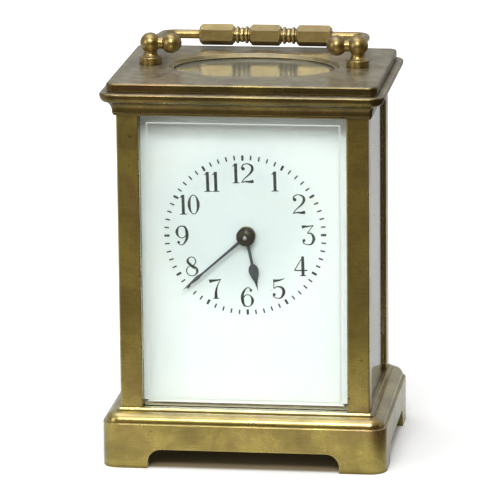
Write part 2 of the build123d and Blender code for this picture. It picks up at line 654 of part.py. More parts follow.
def barrel():
    """The great wheel and the drum that holds the mainspring."""
    body = gear(BARREL, GREAT_T, SLOW_M, phase_at(BARREL, INTER), GREAT_Y)
    body += rod_y(DRUM_R, BARREL, DRUM_Y) - rod_y(DRUM_R - DRUM_WALL, BARREL, (DRUM_Y[0], DRUM_Y[1] + 1))
    return body - rod_y(BARREL_ARBOR_R + FIT, BARREL, (GREAT_Y[0] - 1, DRUM_Y[1] + 1))


def barrel_cap():
    body = rod_y(DRUM_R - DRUM_WALL, BARREL, CAP_Y)
    return body - rod_y(BARREL_ARBOR_R + FIT, BARREL, (CAP_Y[0] - 1, CAP_Y[1] + 1))


def mainspring():
    coil = spiral(4.0, 12.6, 7, 0.45)
    return upright(Pos(*BARREL) * coil, (DRUM_Y[0] + 0.2, CAP_Y[0] - 0.2))


def winding_arbor():
    """The barrel's arbor, squared at the back for the key and the ratchet."""
    body = rod_y(BARREL_ARBOR_R, BARREL, (FRONT_PLATE[1] + 0.2, BACK_PLATE[0] - 0.2))
    body += rod_y(BARREL_FRONT_R, BARREL, (FRONT_PLATE[0] + 0.2, FRONT_PLATE[1] + 1))
    body += rod_y(BARREL_BACK_R, BARREL, (BACK_PLATE[0] - 1, RATCHET_Y[0]))
    return body + upright(Pos(*BARREL) * Rectangle(SQUARE, SQUARE), (RATCHET_Y[0] - 0.2, SQUARE_END))


def ratchet_wheel():
    """Saw teeth whose upright faces meet the click."""
    pitch = 2 * pi / RATCHET_TEETH
    first = radians(CLICK_AT)
    points = [
        (r * cos(first + k * pitch + a), r * sin(first + k * pitch + a))
        for k in range(RATCHET_TEETH)
        for r, a in ((RATCHET_ROOT, 0), (RATCHET_R, 0))
    ]
    return upright(Pos(*BARREL) * (polygon(points) - Rectangle(SQUARE, SQUARE)), RATCHET_Y)


def click_pivot():
    return toward(BARREL, CLICK_PIVOT[1], CLICK_PIVOT[0])


def spring_foot():
    return toward(BARREL, 18, 18.5)


def click():
    """The pawl: a boss on its pivot and an arched arm that ends in a tooth gap."""
    arm = [(9.0, 3), (10.0, 16), (9.3, 34), (8.3, 48), (7.4, 59), (6.4, 59.2), (5.45, 59.2),
           (5.5, 57.3), (6.3, 52), (6.4, 40), (6.6, 28), (6.9, 16)]
    face = polygon([toward(BARREL, direction, reach) for reach, direction in arm])
    face += Pos(*click_pivot()) * Circle(1.7)
    body = upright(face, RATCHET_Y)
    return body - rod_y(CLICK_SCREW_R + FIT, click_pivot(), (RATCHET_Y[0] - 1, RATCHET_Y[1] + 1))


def click_spring():
    """A flat blade screwed to the back plate, resting on the click's back."""
    foot = spring_foot()
    tip = toward(BARREL, 50, 9.35)
    bend = toward(BARREL, 36, 14.6)
    blade = strap(bend, tip, 0.25) + strap(foot, bend, 0.35) + Pos(*foot) * Circle(1.8)
    body = upright(blade, (BACK_PLATE[1], BACK_PLATE[1] + 1.2))
    return body - rod_y(CLICK_SCREW_R, foot, (BACK_PLATE[1] - 1, BACK_PLATE[1] + 2))


def click_screws():
    """The click turns on a shouldered screw; a second one holds its spring."""
    seat = RATCHET_Y[1] + 0.1
    shank = seat - BACK_PLATE[0]
    return Compound([
        screw_y(CLICK_SCREW_R, 1.6, 0.9, click_pivot(), seat, shank),
        screw_y(CLICK_SCREW_R, 1.6, 0.9, spring_foot(), BACK_PLATE[1] + 1.2, 3.2),
    ])


def intermediate_arbor():
    phase = meshed(BARREL, phase_at(BARREL, INTER), GREAT_T, INTER, INTER_PINION_T)
    return arbor(INTER, INTER_PINION_T, SLOW_M, phase, INTER_PINION_Y)


def intermediate_wheel():
    return train_wheel(INTER, INTER_T, TRAIN_M, phase_at(INTER, CENTRE), INTER_Y, (INTER_Y[0], 8.2))


def centre_arbor():
    """Carries the minute hand: its front end runs out through the dial."""
    phase = meshed(INTER, phase_at(INTER, CENTRE), INTER_T, CENTRE, CENTRE_PINION_T)
    body = arbor(CENTRE, CENTRE_PINION_T, TRAIN_M, phase, CENTRE_PINION_Y, CENTRE_R)
    return body + rod_y(CENTRE_R, CENTRE, (MINUTE_HAND_Y[0], FRONT_PLATE[1] + 1))


def centre_wheel():
    return train_wheel(CENTRE, CENTRE_T, TRAIN_M, phase_at(CENTRE, THIRD), CENTRE_Y,
                       (CENTRE_Y[0], -6.4), radius=CENTRE_R)


def third_arbor():
    phase = meshed(CENTRE, phase_at(CENTRE, THIRD), CENTRE_T, THIRD, THIRD_PINION_T)
    return arbor(THIRD, THIRD_PINION_T, TRAIN_M, phase, THIRD_PINION_Y)


def third_wheel():
    return train_wheel(THIRD, THIRD_T, THIRD_M, phase_at(THIRD, CONTRATE), THIRD_Y, (THIRD_Y[0], 6.2))


def contrate_arbor():
    phase = meshed(THIRD, phase_at(THIRD, CONTRATE), THIRD_T, CONTRATE, CONTRATE_PINION_T)
    return arbor(CONTRATE, CONTRATE_PINION_T, THIRD_M, phase, CONTRATE_PINION_Y)


ESCAPE_M = (CONTRATE_R0 + CONTRATE_R1) / CONTRATE_T
CROWN_TIP_Y = ESCAPE[1] - ESCAPE_M * (ESCAPE_PINION_T / 2 - 0.75)
CROWN_ROOT_Y = ESCAPE[1] - ESCAPE_M * (ESCAPE_PINION_T / 2 + 1.05)


def contrate_wheel():
    """A crown wheel: its teeth stand out of the rim, towards the back plate."""
    y = CONTRATE_DISC_Y
    body = rod_y(CONTRATE_R1, CONTRATE, (y[0], CROWN_ROOT_Y))
    body = spoked(body, CONTRATE, 2.6, CONTRATE_R0 - 0.6, 4, y)
    body += rod_y(CONTRATE_R1, CONTRATE, (CROWN_ROOT_Y, CROWN_TIP_Y))
    body -= rod_y(CONTRATE_R0, CONTRATE, (y[1], CROWN_TIP_Y + 1))
    pitch = pi * (CONTRATE_R0 + CONTRATE_R1) / CONTRATE_T
    deep, wide = 0.25 * pitch, 0.42 * pitch
    gap = outline((-deep, CROWN_ROOT_Y), (-wide, CROWN_TIP_Y), (-wide, CROWN_TIP_Y + 1),
                  (wide, CROWN_TIP_Y + 1), (wide, CROWN_TIP_Y), (deep, CROWN_ROOT_Y))
    slot = level(gap, (CONTRATE_R0 - 0.5, CONTRATE_R1 + 0.5))
    middle = Pos(CONTRATE[0], 0, CONTRATE[1])
    body -= [middle * Rot(0, 360 * (k + 0.5) / CONTRATE_T, 0) * slot for k in range(CONTRATE_T)]
    body += rod_y(1.5, CONTRATE, (y[0], y[1] + 0.9))
    return body - rod_y(ARBOR_R, CONTRATE, (FRONT_PLATE[0], BACK_PLATE[1]))


# ---------------------------------------------------------------- motion work, dial and hands

def cannon_pinion():
    phase = phase_at(CENTRE, MINUTE)
    body = gear(CENTRE, CANNON_T, MOTION_M, phase, CANNON_Y)
    body += rod_y(MINUTE_PIPE_R, CENTRE, (MINUTE_HAND_Y[0], CANNON_Y[0]))
    return body - rod_y(CENTRE_R, CENTRE, (MINUTE_HAND_Y[0] - 1, CANNON_Y[1] + 1))


def minute_wheel():
    """Wheel and pinion turning on a post of the front plate."""
    phase = meshed(CENTRE, phase_at(CENTRE, MINUTE), CANNON_T, MINUTE, MINUTE_T)
    body = gear(MINUTE, MINUTE_T, MOTION_M, phase, MINUTE_Y)
    body = spoked(body, MINUTE, 2.2, 4.3, 3, MINUTE_Y)
    body += gear(MINUTE, MINUTE_PINION_T, MOTION_M, phase_at(MINUTE, CENTRE), MINUTE_PINION_Y)
    return body - rod_y(MINUTE_POST_R + FIT, MINUTE, (MINUTE_PINION_Y[0] - 1, MINUTE_Y[1] + 1))


def hour_wheel():
    phase = meshed(MINUTE, phase_at(MINUTE, CENTRE), MINUTE_PINION_T, CENTRE, HOUR_T)
    body = gear(CENTRE, HOUR_T, MOTION_M, phase, HOUR_Y)
    body = spoked(body, CENTRE, 2.6, 4.6, 4, HOUR_Y)
    body += rod_y(HOUR_PIPE_R, CENTRE, (HOUR_HAND_Y[0], HOUR_Y[1]))
    return body - rod_y(MINUTE_PIPE_R + FIT, CENTRE, (HOUR_HAND_Y[0] - 1, HOUR_Y[1] + 1))


def setting_arbor():
    """The hand-setting arbor: a pinion on the motion work and a square at the back."""
    minute_phase = meshed(CENTRE, phase_at(CENTRE, MINUTE), CANNON_T, MINUTE, MINUTE_T)
    phase = meshed(MINUTE, minute_phase, MINUTE_T, SETTING, SETTING_T)
    body = rod_y(ARBOR_R, SETTING, (CANNON_Y[0], BACK_PLATE[1] + 1.0))
    body += gear(SETTING, SETTING_T, MOTION_M, phase, CANNON_Y)
    body += rod_y(1.3, SETTING, (BACK_PLATE[1] + 0.2, BACK_PLATE[1] + 1.2))
    square = Rot(0, 0, 45) * Rectangle(1.5, 1.5)
    return body + upright(Pos(*SETTING) * square, (BACK_PLATE[1] + 1.0, SQUARE_END))


def dial():
    """An enamelled plate on copper feet that pass through the front plate."""
    body = block((-DIAL_HALF_W, DIAL_HALF_W), DIAL_Y, (DIAL_Z0, DIAL_Z1))
    for foot in DIAL_FEET:
        body += rod_y(DIAL_FOOT_R, foot, (DIAL_Y[1] - 0.5, FRONT_PLATE[1] + 0.6))
    return body - rod_y(DIAL_HOLE_R, CENTRE, (DIAL_Y[0] - 1, DIAL_Y[1] + 1))


def hand(half_outline, clock_angle, y, bore):
    """A flat hand from half of its outline, as (half width, distance from the centre)."""
    right = [(w, d) for w, d in half_outline]
    left = [(-w, d) for w, d in reversed(half_outline) if w > 0]
    face = polygon(right + left) + Circle(HUB_R - 0.3)
    face -= Circle(bore)
    return upright(Pos(*CENTRE) * Rot(0, 0, -clock_angle) * face, y)


def hour_hand():
    """A thin stem, a lobe with round shoulders and a fine point."""
    lobe = [(0.45, 1.0), (0.38, 8.4), (0.75, 8.7), (1.2, 9.3), (1.42, 10.1), (1.38, 10.9),
            (1.1, 11.9), (0.7, 12.9), (0.42, 13.7), (0.2, 14.8), (0, HOUR_HAND_L)]
    return hand(lobe, HOUR_ANGLE, HOUR_HAND_Y, HOUR_PIPE_R)


def minute_hand():
    """A long slender hand with a slight swelling near its tip."""
    blade = [(0.5, 1.0), (0.34, 8.0), (0.28, 16.6), (0.38, 17.7), (0.58, 18.9), (0.42, 20.3),
             (0.22, 22.2), (0, MINUTE_HAND_L)]
    return hand(blade, MINUTE_ANGLE, MINUTE_HAND_Y, MINUTE_PIPE_R)


def hand_collet():
    """The domed collet that keeps the minute hand on, with the end of its pin."""
    y = MINUTE_HAND_Y[0]
    dome = outline((0, 0), (HUB_R, 0), (HUB_R, 0.25), ((1.9, 0.95), (0.75, 1.3)), (0.75, 1.5),
                   (0.5, 1.7), (0, 1.75))
    return Pos(CENTRE[0], y, CENTRE[1]) * Rot(90, 0, 0) * revolve(Plane.XZ * dome, Axis.Z)


# ---------------------------------------------------------------- platform escapement

def platform_plate():
    body = block((-PLATFORM_HALF_X, PLATFORM_HALF_X), (FRONT_PLATE[0], BACK_PLATE[1]), PLATFORM)
    body -= rod_z(1.6, ESCAPE, (PLATFORM[0] - 1, PLATFORM[1] + 1))
    for at in (LEVER, BALANCE):
        body -= rod_z(FINE_PIVOT_R + FIT, at, (PLATFORM[0] + 0.4, PLATFORM[1] + 1))
    for x in (-PLATFORM_SCREW_X, PLATFORM_SCREW_X):
        for y in platform_screw_rows():
            body -= rod_z(PLATFORM_SCREW_R, (x, y), (PLATFORM[0] - 1, PLATFORM[1] + 1))
    for foot in (LEVER_COCK_FOOT, BALANCE_COCK_FOOT):
        body -= rod_z(COCK_SCREW_R, foot, (PLATFORM[0] + 0.2, PLATFORM[1] + 1))
    return body


def platform_screw_rows():
    return [(y[0] + y[1]) / 2 for y in (FRONT_PLATE, BACK_PLATE)]


def screw_down(radius, head_r, head_l, at, seat, length):
    """A slotted screw driven downwards from a seat height."""
    body = rod_z(radius, at, (seat - length, seat)) + rod_z(head_r, at, (seat, seat + head_l))
    return body - Pos(at[0], at[1], seat + head_l) * Box(2 * head_r + 1, 0.35, 0.6)


def platform_screws():
    return Compound([
        screw_down(PLATFORM_SCREW_R, 1.35, 0.8, (x, y), PLATFORM[1], 4.6)
        for x in (-PLATFORM_SCREW_X, PLATFORM_SCREW_X)
        for y in platform_screw_rows()
    ])


def escape_potence():
    """The bracket under the platform that carries the escape arbor's lower pivot."""
    face = strap(ESCAPE, (0, 3.4), 1.1)
    body = level(face, (POTENCE_Z, POTENCE_Z + 0.8))
    body += rod_z(1.3, (0, 3.4), (POTENCE_Z, PLATFORM[0]))
    return body - rod_z(FINE_PIVOT_R + FIT, ESCAPE, (POTENCE_Z - 1, POTENCE_Z + 2))


def escape_pinion():
    z0, z1 = POTENCE_Z + 0.9, LEVER_COCK_Z[0] - 0.1
    body = rod_z(STAFF_R, ESCAPE, (z0, z1))
    body += rod_z(FINE_PIVOT_R, ESCAPE, (POTENCE_Z + 0.1, LEVER_COCK_Z[1] - 0.4))
    leaf_phase = -pi / 2 + pi / ESCAPE_PINION_T
    leaves = polygon(gear_points(ESCAPE_PINION_T, ESCAPE_M, leaf_phase, 0.34))
    return body + level(Pos(*ESCAPE) * leaves, ESCAPE_PINION_Z)


def escape_wheel():
    """Fifteen raked teeth on a crossed-out rim."""
    pitch = 2 * pi / ESCAPE_TEETH
    points = []
    for k in range(ESCAPE_TEETH):
        a = k * pitch
        for r, lead in ((ESCAPE_ROOT, -0.16), (ESCAPE_R, 0.02), (ESCAPE_R, 0.08), (ESCAPE_ROOT, 0.0)):
            points.append((r * cos(a + lead), r * sin(a + lead)))
    face = polygon(points) - (Circle(1.95) - Circle(0.95))
    for k in range(4):
        face += Rot(0, 0, 90 * k) * Pos(1.45, 0) * Rectangle(1.2, 0.4)
    body = level(Pos(*ESCAPE) * face, ESCAPE_Z)
    return body - rod_z(STAFF_R, ESCAPE, (ESCAPE_Z[0] - 1, ESCAPE_Z[1] + 1))


def lever():
    """Pallets astride the escape wheel and a fork towards the balance staff."""
    run = degrees(atan2(LEVER[1] - ESCAPE[1], LEVER[0] - ESCAPE[0]))
    face = Pos(*LEVER) * Circle(0.8)
    for side in (-1, 1):
        stone = toward(ESCAPE, run + side * PALLET_SPREAD, ESCAPE_R + 0.85)
        face += strap(LEVER, stone, 0.3)
        face += Pos(*stone) * Rot(0, 0, run + side * PALLET_SPREAD) * Rectangle(0.9, 0.6)
    reach = hypot(BALANCE[0] - LEVER[0], BALANCE[1] - LEVER[1]) - 1.9
    line = degrees(atan2(BALANCE[1] - LEVER[1], BALANCE[0] - LEVER[0]))
    tip = toward(LEVER, line, reach)
    face += strap(LEVER, tip, 0.3)
    fork = Rectangle(0.9, 1.3) - Pos(0.3, 0) * Rectangle(0.8, 0.5)
    face += Pos(*tip) * Rot(0, 0, line) * fork
    body = level(face, LEVER_Z)
    body += rod_z(STAFF_R, LEVER, (PLATFORM[1] + 0.1, LEVER_COCK_Z[0] - 0.1))
    return body + rod_z(FINE_PIVOT_R, LEVER, (PLATFORM[0] + 0.5, LEVER_COCK_Z[1] - 0.4))


def cock(foot, arms, z, foot_r, half_width):
    """A bridge: a flat top on a round foot, screwed to the platform."""
    face = Pos(*foot) * Circle(foot_r)
    for start, end in arms:
        face += strap(start, end, half_width)
    body = level(face, z) + rod_z(foot_r, foot, (PLATFORM[1], z[1]))
    return body - rod_z(COCK_SCREW_R, foot, (PLATFORM[1] - 1, z[1] + 1))


def jewel_seat(at, z):
    """The pivot hole of a cock and the sink for its jewel."""
    return rod_z(FINE_PIVOT_R + FIT, at, (z[0] - 1, z[1])) + rod_z(JEWEL_R, at, (z[1] - JEWEL_T, z[1] + 1))


def lever_cock():
    body = cock(LEVER_COCK_FOOT, ((LEVER_COCK_FOOT, ESCAPE), (ESCAPE, LEVER)), LEVER_COCK_Z, 1.8, 1.2)
    return body - jewel_seat(ESCAPE, LEVER_COCK_Z) - jewel_seat(LEVER, LEVER_COCK_Z)


def balance_cock():
    body = cock(BALANCE_COCK_FOOT, ((BALANCE_COCK_FOOT, BALANCE),), BALANCE_COCK_Z, 2.0, 1.5)
    body += rod_z(REGULATOR_BOSS_R, BALANCE, (BALANCE_COCK_Z[0], BALANCE_COCK_Z[1] + 0.7))
    return body - jewel_seat(BALANCE, (BALANCE_COCK_Z[0], BALANCE_COCK_Z[1] + 0.7))


def cock_screws():
    return Compound([
        screw_down(COCK_SCREW_R, 1.2, 0.7, LEVER_COCK_FOOT, LEVER_COCK_Z[1], 4.6),
        screw_down(COCK_SCREW_R, 1.2, 0.7, BALANCE_COCK_FOOT, BALANCE_COCK_Z[1], 8.4),
    ])


def jewels():
    tops = ((ESCAPE, LEVER_COCK_Z[1]), (LEVER, LEVER_COCK_Z[1]), (BALANCE, BALANCE_COCK_Z[1] + 0.7))
    return Compound([rod_z(JEWEL_R, at, (top - JEWEL_T, top)) for at, top in tops])


def balance_wheel():
    """A two-armed rim with timing screws, on its staff with the roller."""
    face = Circle(BALANCE_R - 0.6) - Circle(BALANCE_R - 1.5) + Circle(1.1)
    face += Rectangle(2 * BALANCE_R - 2, 1.0)
    body = level(face, BALANCE_Z)
    middle = (BALANCE_Z[0] + BALANCE_Z[1]) / 2
    for k in range(12):
        body += Rot(0, 0, 15 + 30 * k) * rod(0.32, (BALANCE_R - 1, 0, middle), (BALANCE_R, 0, middle))
    body = Pos(BALANCE[0], BALANCE[1], 0) * body
    body += rod_z(STAFF_R, BALANCE, (PLATFORM[1] + 0.1, BALANCE_COCK_Z[0] - 0.1))
    body += rod_z(FINE_PIVOT_R, BALANCE, (PLATFORM[0] + 0.5, BALANCE_COCK_Z[1] + 0.3))
    return body + rod_z(1.2, BALANCE, (ROLLER_Z, ROLLER_Z + 0.5))


def hairspring():
    coil = spiral(0.9, 4.2, 8, 0.08)
    return level(Pos(*BALANCE) * coil, HAIRSPRING_Z)


def regulator():
    """A pointer that turns on the boss of the balance cock."""
    z = (BALANCE_COCK_Z[1] + FIT, BALANCE_COCK_Z[1] + 0.5)
    tail = toward((0, 0), 150, 6.4)
    face = Circle(2.1) + strap((0, 0), tail, 0.4) - Circle(REGULATOR_BOSS_R + FIT)
    return level(Pos(*BALANCE) * face, z)


PARTS = {
    "base": base,
    "pillar_front_left": lambda: pillar(-1, -1),
    "pillar_front_right": lambda: pillar(1, -1),
    "pillar_rear_left": lambda: pillar(-1, 1),
    "pillar_rear_right": lambda: pillar(1, 1),
    "case_screws": case_screws,
    "cornice": cornice,
    "top_glass": top_glass,
    "front_glass": front_glass,
    "side_glasses": side_glasses,
    "door_frame": door_frame,
    "door_glass": door_glass,
    "door_pins": door_pins,
    "door_knob": door_knob,
    "handle_posts": handle_posts,
    "handle_pivot_screws": handle_pivot_screws,
    "handle_bail": handle_bail,
    "handle_grip": handle_grip,
    "front_plate": front_plate,
    "back_plate": back_plate,
    "frame_pillars": frame_pillars,
    "plate_screws": plate_screws,
    "movement_screws": movement_screws,
    "barrel": barrel,
    "barrel_cap": barrel_cap,
    "mainspring": mainspring,
    "winding_arbor": winding_arbor,
    "ratchet_wheel": ratchet_wheel,
    "click": click,
    "click_spring": click_spring,
    "click_screws": click_screws,
    "intermediate_arbor": intermediate_arbor,
    "intermediate_wheel": intermediate_wheel,
    "centre_arbor": centre_arbor,
    "centre_wheel": centre_wheel,
    "third_arbor": third_arbor,
    "third_wheel": third_wheel,
    "contrate_arbor": contrate_arbor,
    "contrate_wheel": contrate_wheel,
    "cannon_pinion": cannon_pinion,
    "minute_wheel": minute_wheel,
    "hour_wheel": hour_wheel,
    "setting_arbor": setting_arbor,
    "dial": dial,
    "hour_hand": hour_hand,
    "minute_hand": minute_hand,
    "hand_collet": hand_collet,
    "platform_plate": platform_plate,
    "platform_screws": platform_screws,
    "escape_potence": escape_potence,
    "escape_pinion": escape_pinion,
    "escape_wheel": escape_wheel,
    "lever": lever,
    "lever_cock": lever_cock,
    "balance_wheel": balance_wheel,
    "balance_cock": balance_cock,
    "cock_screws": cock_screws,
    "jewels": jewels,
    "hairspring": hairspring,
    "regulator": regulator,
}

os.makedirs("parts", exist_ok=True)
for name, make in PARTS.items():
    export_step(make(), f"parts/{name}.step")
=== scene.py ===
import json
from math import cos, hypot, pi, radians, sin

import bmesh
import bpy
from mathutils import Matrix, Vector


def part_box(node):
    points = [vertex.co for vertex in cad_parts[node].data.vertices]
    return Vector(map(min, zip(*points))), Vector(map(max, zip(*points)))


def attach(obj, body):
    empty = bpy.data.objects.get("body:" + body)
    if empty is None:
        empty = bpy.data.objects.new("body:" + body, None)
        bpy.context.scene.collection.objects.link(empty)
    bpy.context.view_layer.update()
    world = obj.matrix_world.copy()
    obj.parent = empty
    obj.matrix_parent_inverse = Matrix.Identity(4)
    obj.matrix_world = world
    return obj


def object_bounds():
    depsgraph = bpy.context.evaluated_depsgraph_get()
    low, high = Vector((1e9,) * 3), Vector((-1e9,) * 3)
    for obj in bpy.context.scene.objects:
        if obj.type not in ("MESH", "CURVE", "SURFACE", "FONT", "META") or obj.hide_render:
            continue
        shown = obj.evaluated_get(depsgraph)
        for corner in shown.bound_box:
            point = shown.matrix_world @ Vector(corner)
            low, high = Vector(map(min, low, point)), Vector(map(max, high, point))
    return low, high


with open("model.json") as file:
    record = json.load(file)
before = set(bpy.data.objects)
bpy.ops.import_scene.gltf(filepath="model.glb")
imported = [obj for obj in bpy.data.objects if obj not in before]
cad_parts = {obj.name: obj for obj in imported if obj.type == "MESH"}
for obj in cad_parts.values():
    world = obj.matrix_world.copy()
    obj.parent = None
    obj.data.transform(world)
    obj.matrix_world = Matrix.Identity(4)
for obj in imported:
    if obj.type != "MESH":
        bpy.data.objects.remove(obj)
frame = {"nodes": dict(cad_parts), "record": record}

CAD_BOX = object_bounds()
MM = 0.001
SLOT_OF = {row["node"]: row["material_slot"] for row in frame["record"]["subparts"]}


def middle(node):
    """The middle of a CAD node's box."""
    low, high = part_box(node)
    return (low + high) / 2


# Dial print. Half widths are across a dash; the print was fired a little off centre and turned.
DIAL_CENTRE = middle("hour_wheel")
DIAL_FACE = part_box("dial")[0].y
FIGURE_HEIGHT, FIGURE_RING = 5.85 * MM, 18.25 * MM
FIGURE_GAP = 0.02
TRACK_OUTER, DASH, BOLD_DASH = 23.45 * MM, 1.35 * MM, 1.55 * MM
DASH_HALF, BOLD_HALF = 0.21 * MM, 0.34 * MM
PRINT_HEIGHT, PRINT_FOOT = 0.05 * MM, 0.002 * MM
PRINT_SHIFT, PRINT_TURN = -0.42 * MM, radians(1.4)

# Painted highlight line along the front glass's bevel, and the pin that shows in the hands' collet
BEVEL, ARRIS_W, ARRIS_H = 3.2 * MM, 0.17 * MM, 0.06 * MM
PIN_R, PIN_DEPTH = 0.56 * MM, 0.42 * MM

# Camera: place in metres, turn in degrees, lens and sensor in millimetres
CAMERA_AT = (0.15576, -1.15528, 0.33815)
CAMERA_TURN = (76.47, 0.57, 7.625)
CAMERA_LENS, SENSOR = 295.8, 36.0
FAR_CLIP = 20.0

# Lights: name, place, size and watts; all aim at the middle of the case
LIGHT_AIM = (0.0, 0.0, 0.07)
SOFT_BOXES = [
    ("front_window", (0.0, -0.7, 0.62), (0.34, 0.24), 4.6),
    ("overhead", (-0.1, -0.1, 0.9), (0.8, 0.5), 3.0),
    ("left_fill", (-0.9, -0.7, 0.4), (0.5, 0.7), 2.5),
]
FLOOR_HALF = 3.0

# Colours that several surfaces share, or that polished metal mirrors
WHITE = (1.0, 1.0, 1.0, 1.0)
# The first colour here is painted shade for inner corners; the spots and house dust are real marks.
CORNER_SHADE, SPOT, HOUSE_DUST = (0.05, 0.035, 0.015), (0.06, 0.04, 0.03), (0.42, 0.39, 0.33)
ROOM_WALLS, ROOM_FRONT = (0.46, 0.47, 0.46), (0.2, 0.16, 0.11)
ROOM_CORNER, ROOM_CEILING, ROOM_LIGHT = (0.07, 0.05, 0.03), (0.5, 0.47, 0.4), (0.79, 0.79, 0.79)
FLOOR_BACK, FLOOR_NEAR = (0.52, 0.53, 0.52), (0.62, 0.59, 0.51)
# The last colour here is a painted shadow on the floor under the clock.
FLOOR_FAR, FLOOR_ASIDE, FLOOR_SHADOW = (0.16, 0.135, 0.09), (0.07, 0.045, 0.025), (0.3, 0.24, 0.14)


# ---------------------------------------------------------------- wiring helpers

def place(tree, kind, wires=None, **settings):
    """Add a node. Wires maps an input's name or number to a value or to another node's output."""
    made = tree.nodes.new(kind)
    for key, value in settings.items():
        setattr(made, key, value)
    for key, value in (wires or {}).items():
        if isinstance(value, bpy.types.NodeSocket):
            tree.links.new(value, made.inputs[key])
        else:
            made.inputs[key].default_value = value
    return made


def maths(tree, operation, a, b=0.5, clamp=False):
    """One sum; b is left alone where the operation takes a single number."""
    return place(tree, "ShaderNodeMath", {0: a, 1: b}, operation=operation, use_clamp=clamp).outputs[0]


def scaled(tree, value, share):
    """The product of two numbers, either of them a socket."""
    return maths(tree, "MULTIPLY", value, share)


def ramp(tree, value, low, high, out_low=0.0, out_high=1.0):
    """Stretch a value from one range to another, with its ends held."""
    made = place(tree, "ShaderNodeMapRange", {
        "Value": value, "From Min": low, "From Max": high, "To Min": out_low, "To Max": out_high,
    }, interpolation_type="SMOOTHSTEP")
    return made.outputs["Result"]


def blend(tree, share, first, second):
    """Mix two colours; a colour is a socket or an (r, g, b)."""
    made = place(tree, "ShaderNodeMix", data_type="RGBA")
    for socket, value in ((made.inputs[0], share), (made.inputs[6], first), (made.inputs[7], second)):
        if isinstance(value, bpy.types.NodeSocket):
            tree.links.new(value, socket)
        else:
            socket.default_value = value if isinstance(value, float) else (*value, 1.0)
    return made.outputs[2]


def noise(tree, at, scale, detail=3.0, rough=0.55, warp=0.0):
    """Cloudy noise from 0 to 1; the scale is in waves a millimetre."""
    made = place(tree, "ShaderNodeTexNoise", {
        "Vector": at, "Scale": scale, "Detail": detail, "Roughness": rough, "Distortion": warp,
    })
    return made.outputs["Fac"]


def surface_point(tree, stretch=(1.0, 1.0, 1.0)):
    """The piece's own coordinates in millimetres, stretched to draw a texture out."""
    at = place(tree, "ShaderNodeTexCoord").outputs["Object"]
    scale = tuple(s / MM for s in stretch)
    return place(tree, "ShaderNodeMapping", {"Vector": at, "Scale": scale}).outputs[0]


def effect(name, inputs, outputs):
    """Start a shared effect: a node group with named number inputs and outputs."""
    group = bpy.data.node_groups.new(name, "ShaderNodeTree")
    for label, default in inputs:
        given = group.interface.new_socket(label, in_out="INPUT", socket_type="NodeSocketFloat")
        given.default_value = default
    for label in outputs:
        group.interface.new_socket(label, in_out="OUTPUT", socket_type="NodeSocketFloat")
    return group, group.nodes.new("NodeGroupInput").outputs, group.nodes.new("NodeGroupOutput")


def use(tree, group, **values):
    """Place a shared effect in a material; its inputs are given with _ for a space."""
    made = tree.nodes.new("ShaderNodeGroup")
    made.node_tree = group
    for key, value in values.items():
        made.inputs[key.replace("_", " ")].default_value = value
    return made.outputs


def new_object(name, mesh):
    """Put a finished bmesh in the scene as an object."""
    data = bpy.data.meshes.new(name)
    mesh.to_mesh(data)
    mesh.free()
    made = bpy.data.objects.new(name, data)
    bpy.context.scene.collection.objects.link(made)
    return made


def add_piece(name, mesh, material, body):
    """Make a visible piece that rides a moving body."""
    piece = new_object(name, mesh)
    piece.data.materials.append(material)
    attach(piece, body)


# ---------------------------------------------------------------- shared effects

def make_relief():
    """Worn outer edges, and painted shade in inner corners, found by ambient occlusion."""
    group, given, out = effect("relief", [("Edge Width", 0.35 * MM), ("Corner Depth", 1.6 * MM)],
                               ["Edge", "Corner"])
    rounded = place(group, "ShaderNodeBevel", {"Radius": given["Edge Width"]}, samples=4).outputs[0]
    flat = place(group, "ShaderNodeNewGeometry").outputs["Normal"]
    facing = place(group, "ShaderNodeVectorMath", {0: rounded, 1: flat}, operation="DOT_PRODUCT")
    turned = ramp(group, facing.outputs["Value"], 0.995, 0.86)
    open_sky = place(group, "ShaderNodeAmbientOcclusion", {"Distance": given["Corner Depth"]}, samples=6)
    # Corner is painted shade: it is high where ambient occlusion finds a hollow.
    corner = ramp(group, open_sky.outputs["AO"], 0.92, 0.35)
    group.links.new(corner, out.inputs["Corner"])
    clear_of_corners = maths(group, "SUBTRACT", 1.0, corner, True)
    group.links.new(scaled(group, turned, clear_of_corners), out.inputs["Edge"])
    return group


def make_patina():
    """Cloudy tarnish, warm blotches and small dark spots on old metal."""
    scales = [("Cloud Scale", 0.09), ("Blotch Scale", 0.035), ("Spot Scale", 0.5)]
    group, given, out = effect("patina", scales, ["Clouds", "Blotches", "Spots"])
    at = surface_point(group)
    clouds = ramp(group, noise(group, at, given["Cloud Scale"], 6.0, 0.62, 0.4), 0.32, 0.7)
    blotches = ramp(group, noise(group, at, given["Blotch Scale"], 5.0, 0.6, 1.2), 0.52, 0.72)
    fine = noise(group, at, given["Spot Scale"], 2.0, 0.5)
    gate = ramp(group, noise(group, at, 0.06, 2.0), 0.5, 0.62)
    spots = scaled(group, ramp(group, fine, 0.66, 0.74), gate)
    for label, value in (("Clouds", clouds), ("Blotches", blotches), ("Spots", spots)):
        group.links.new(value, out.inputs[label])
    return group


def make_rubbing():
    """Fine polishing lines along one direction, as a height and as a roughness share."""
    group, given, out = effect("rubbing", [("Line Scale", 2.2)], ["Height", "Lines"])
    at = surface_point(group, (0.06, 1.0, 1.0))
    lines = noise(group, at, given["Line Scale"], 4.0, 0.7)
    across = noise(group, surface_point(group, (1.0, 1.0, 0.08)), given["Line Scale"], 3.0, 0.6)
    both = maths(group, "ADD", scaled(group, lines, 0.65), scaled(group, across, 0.35))
    group.links.new(both, out.inputs["Height"])
    group.links.new(ramp(group, both, 0.35, 0.65), out.inputs["Lines"])
    return group


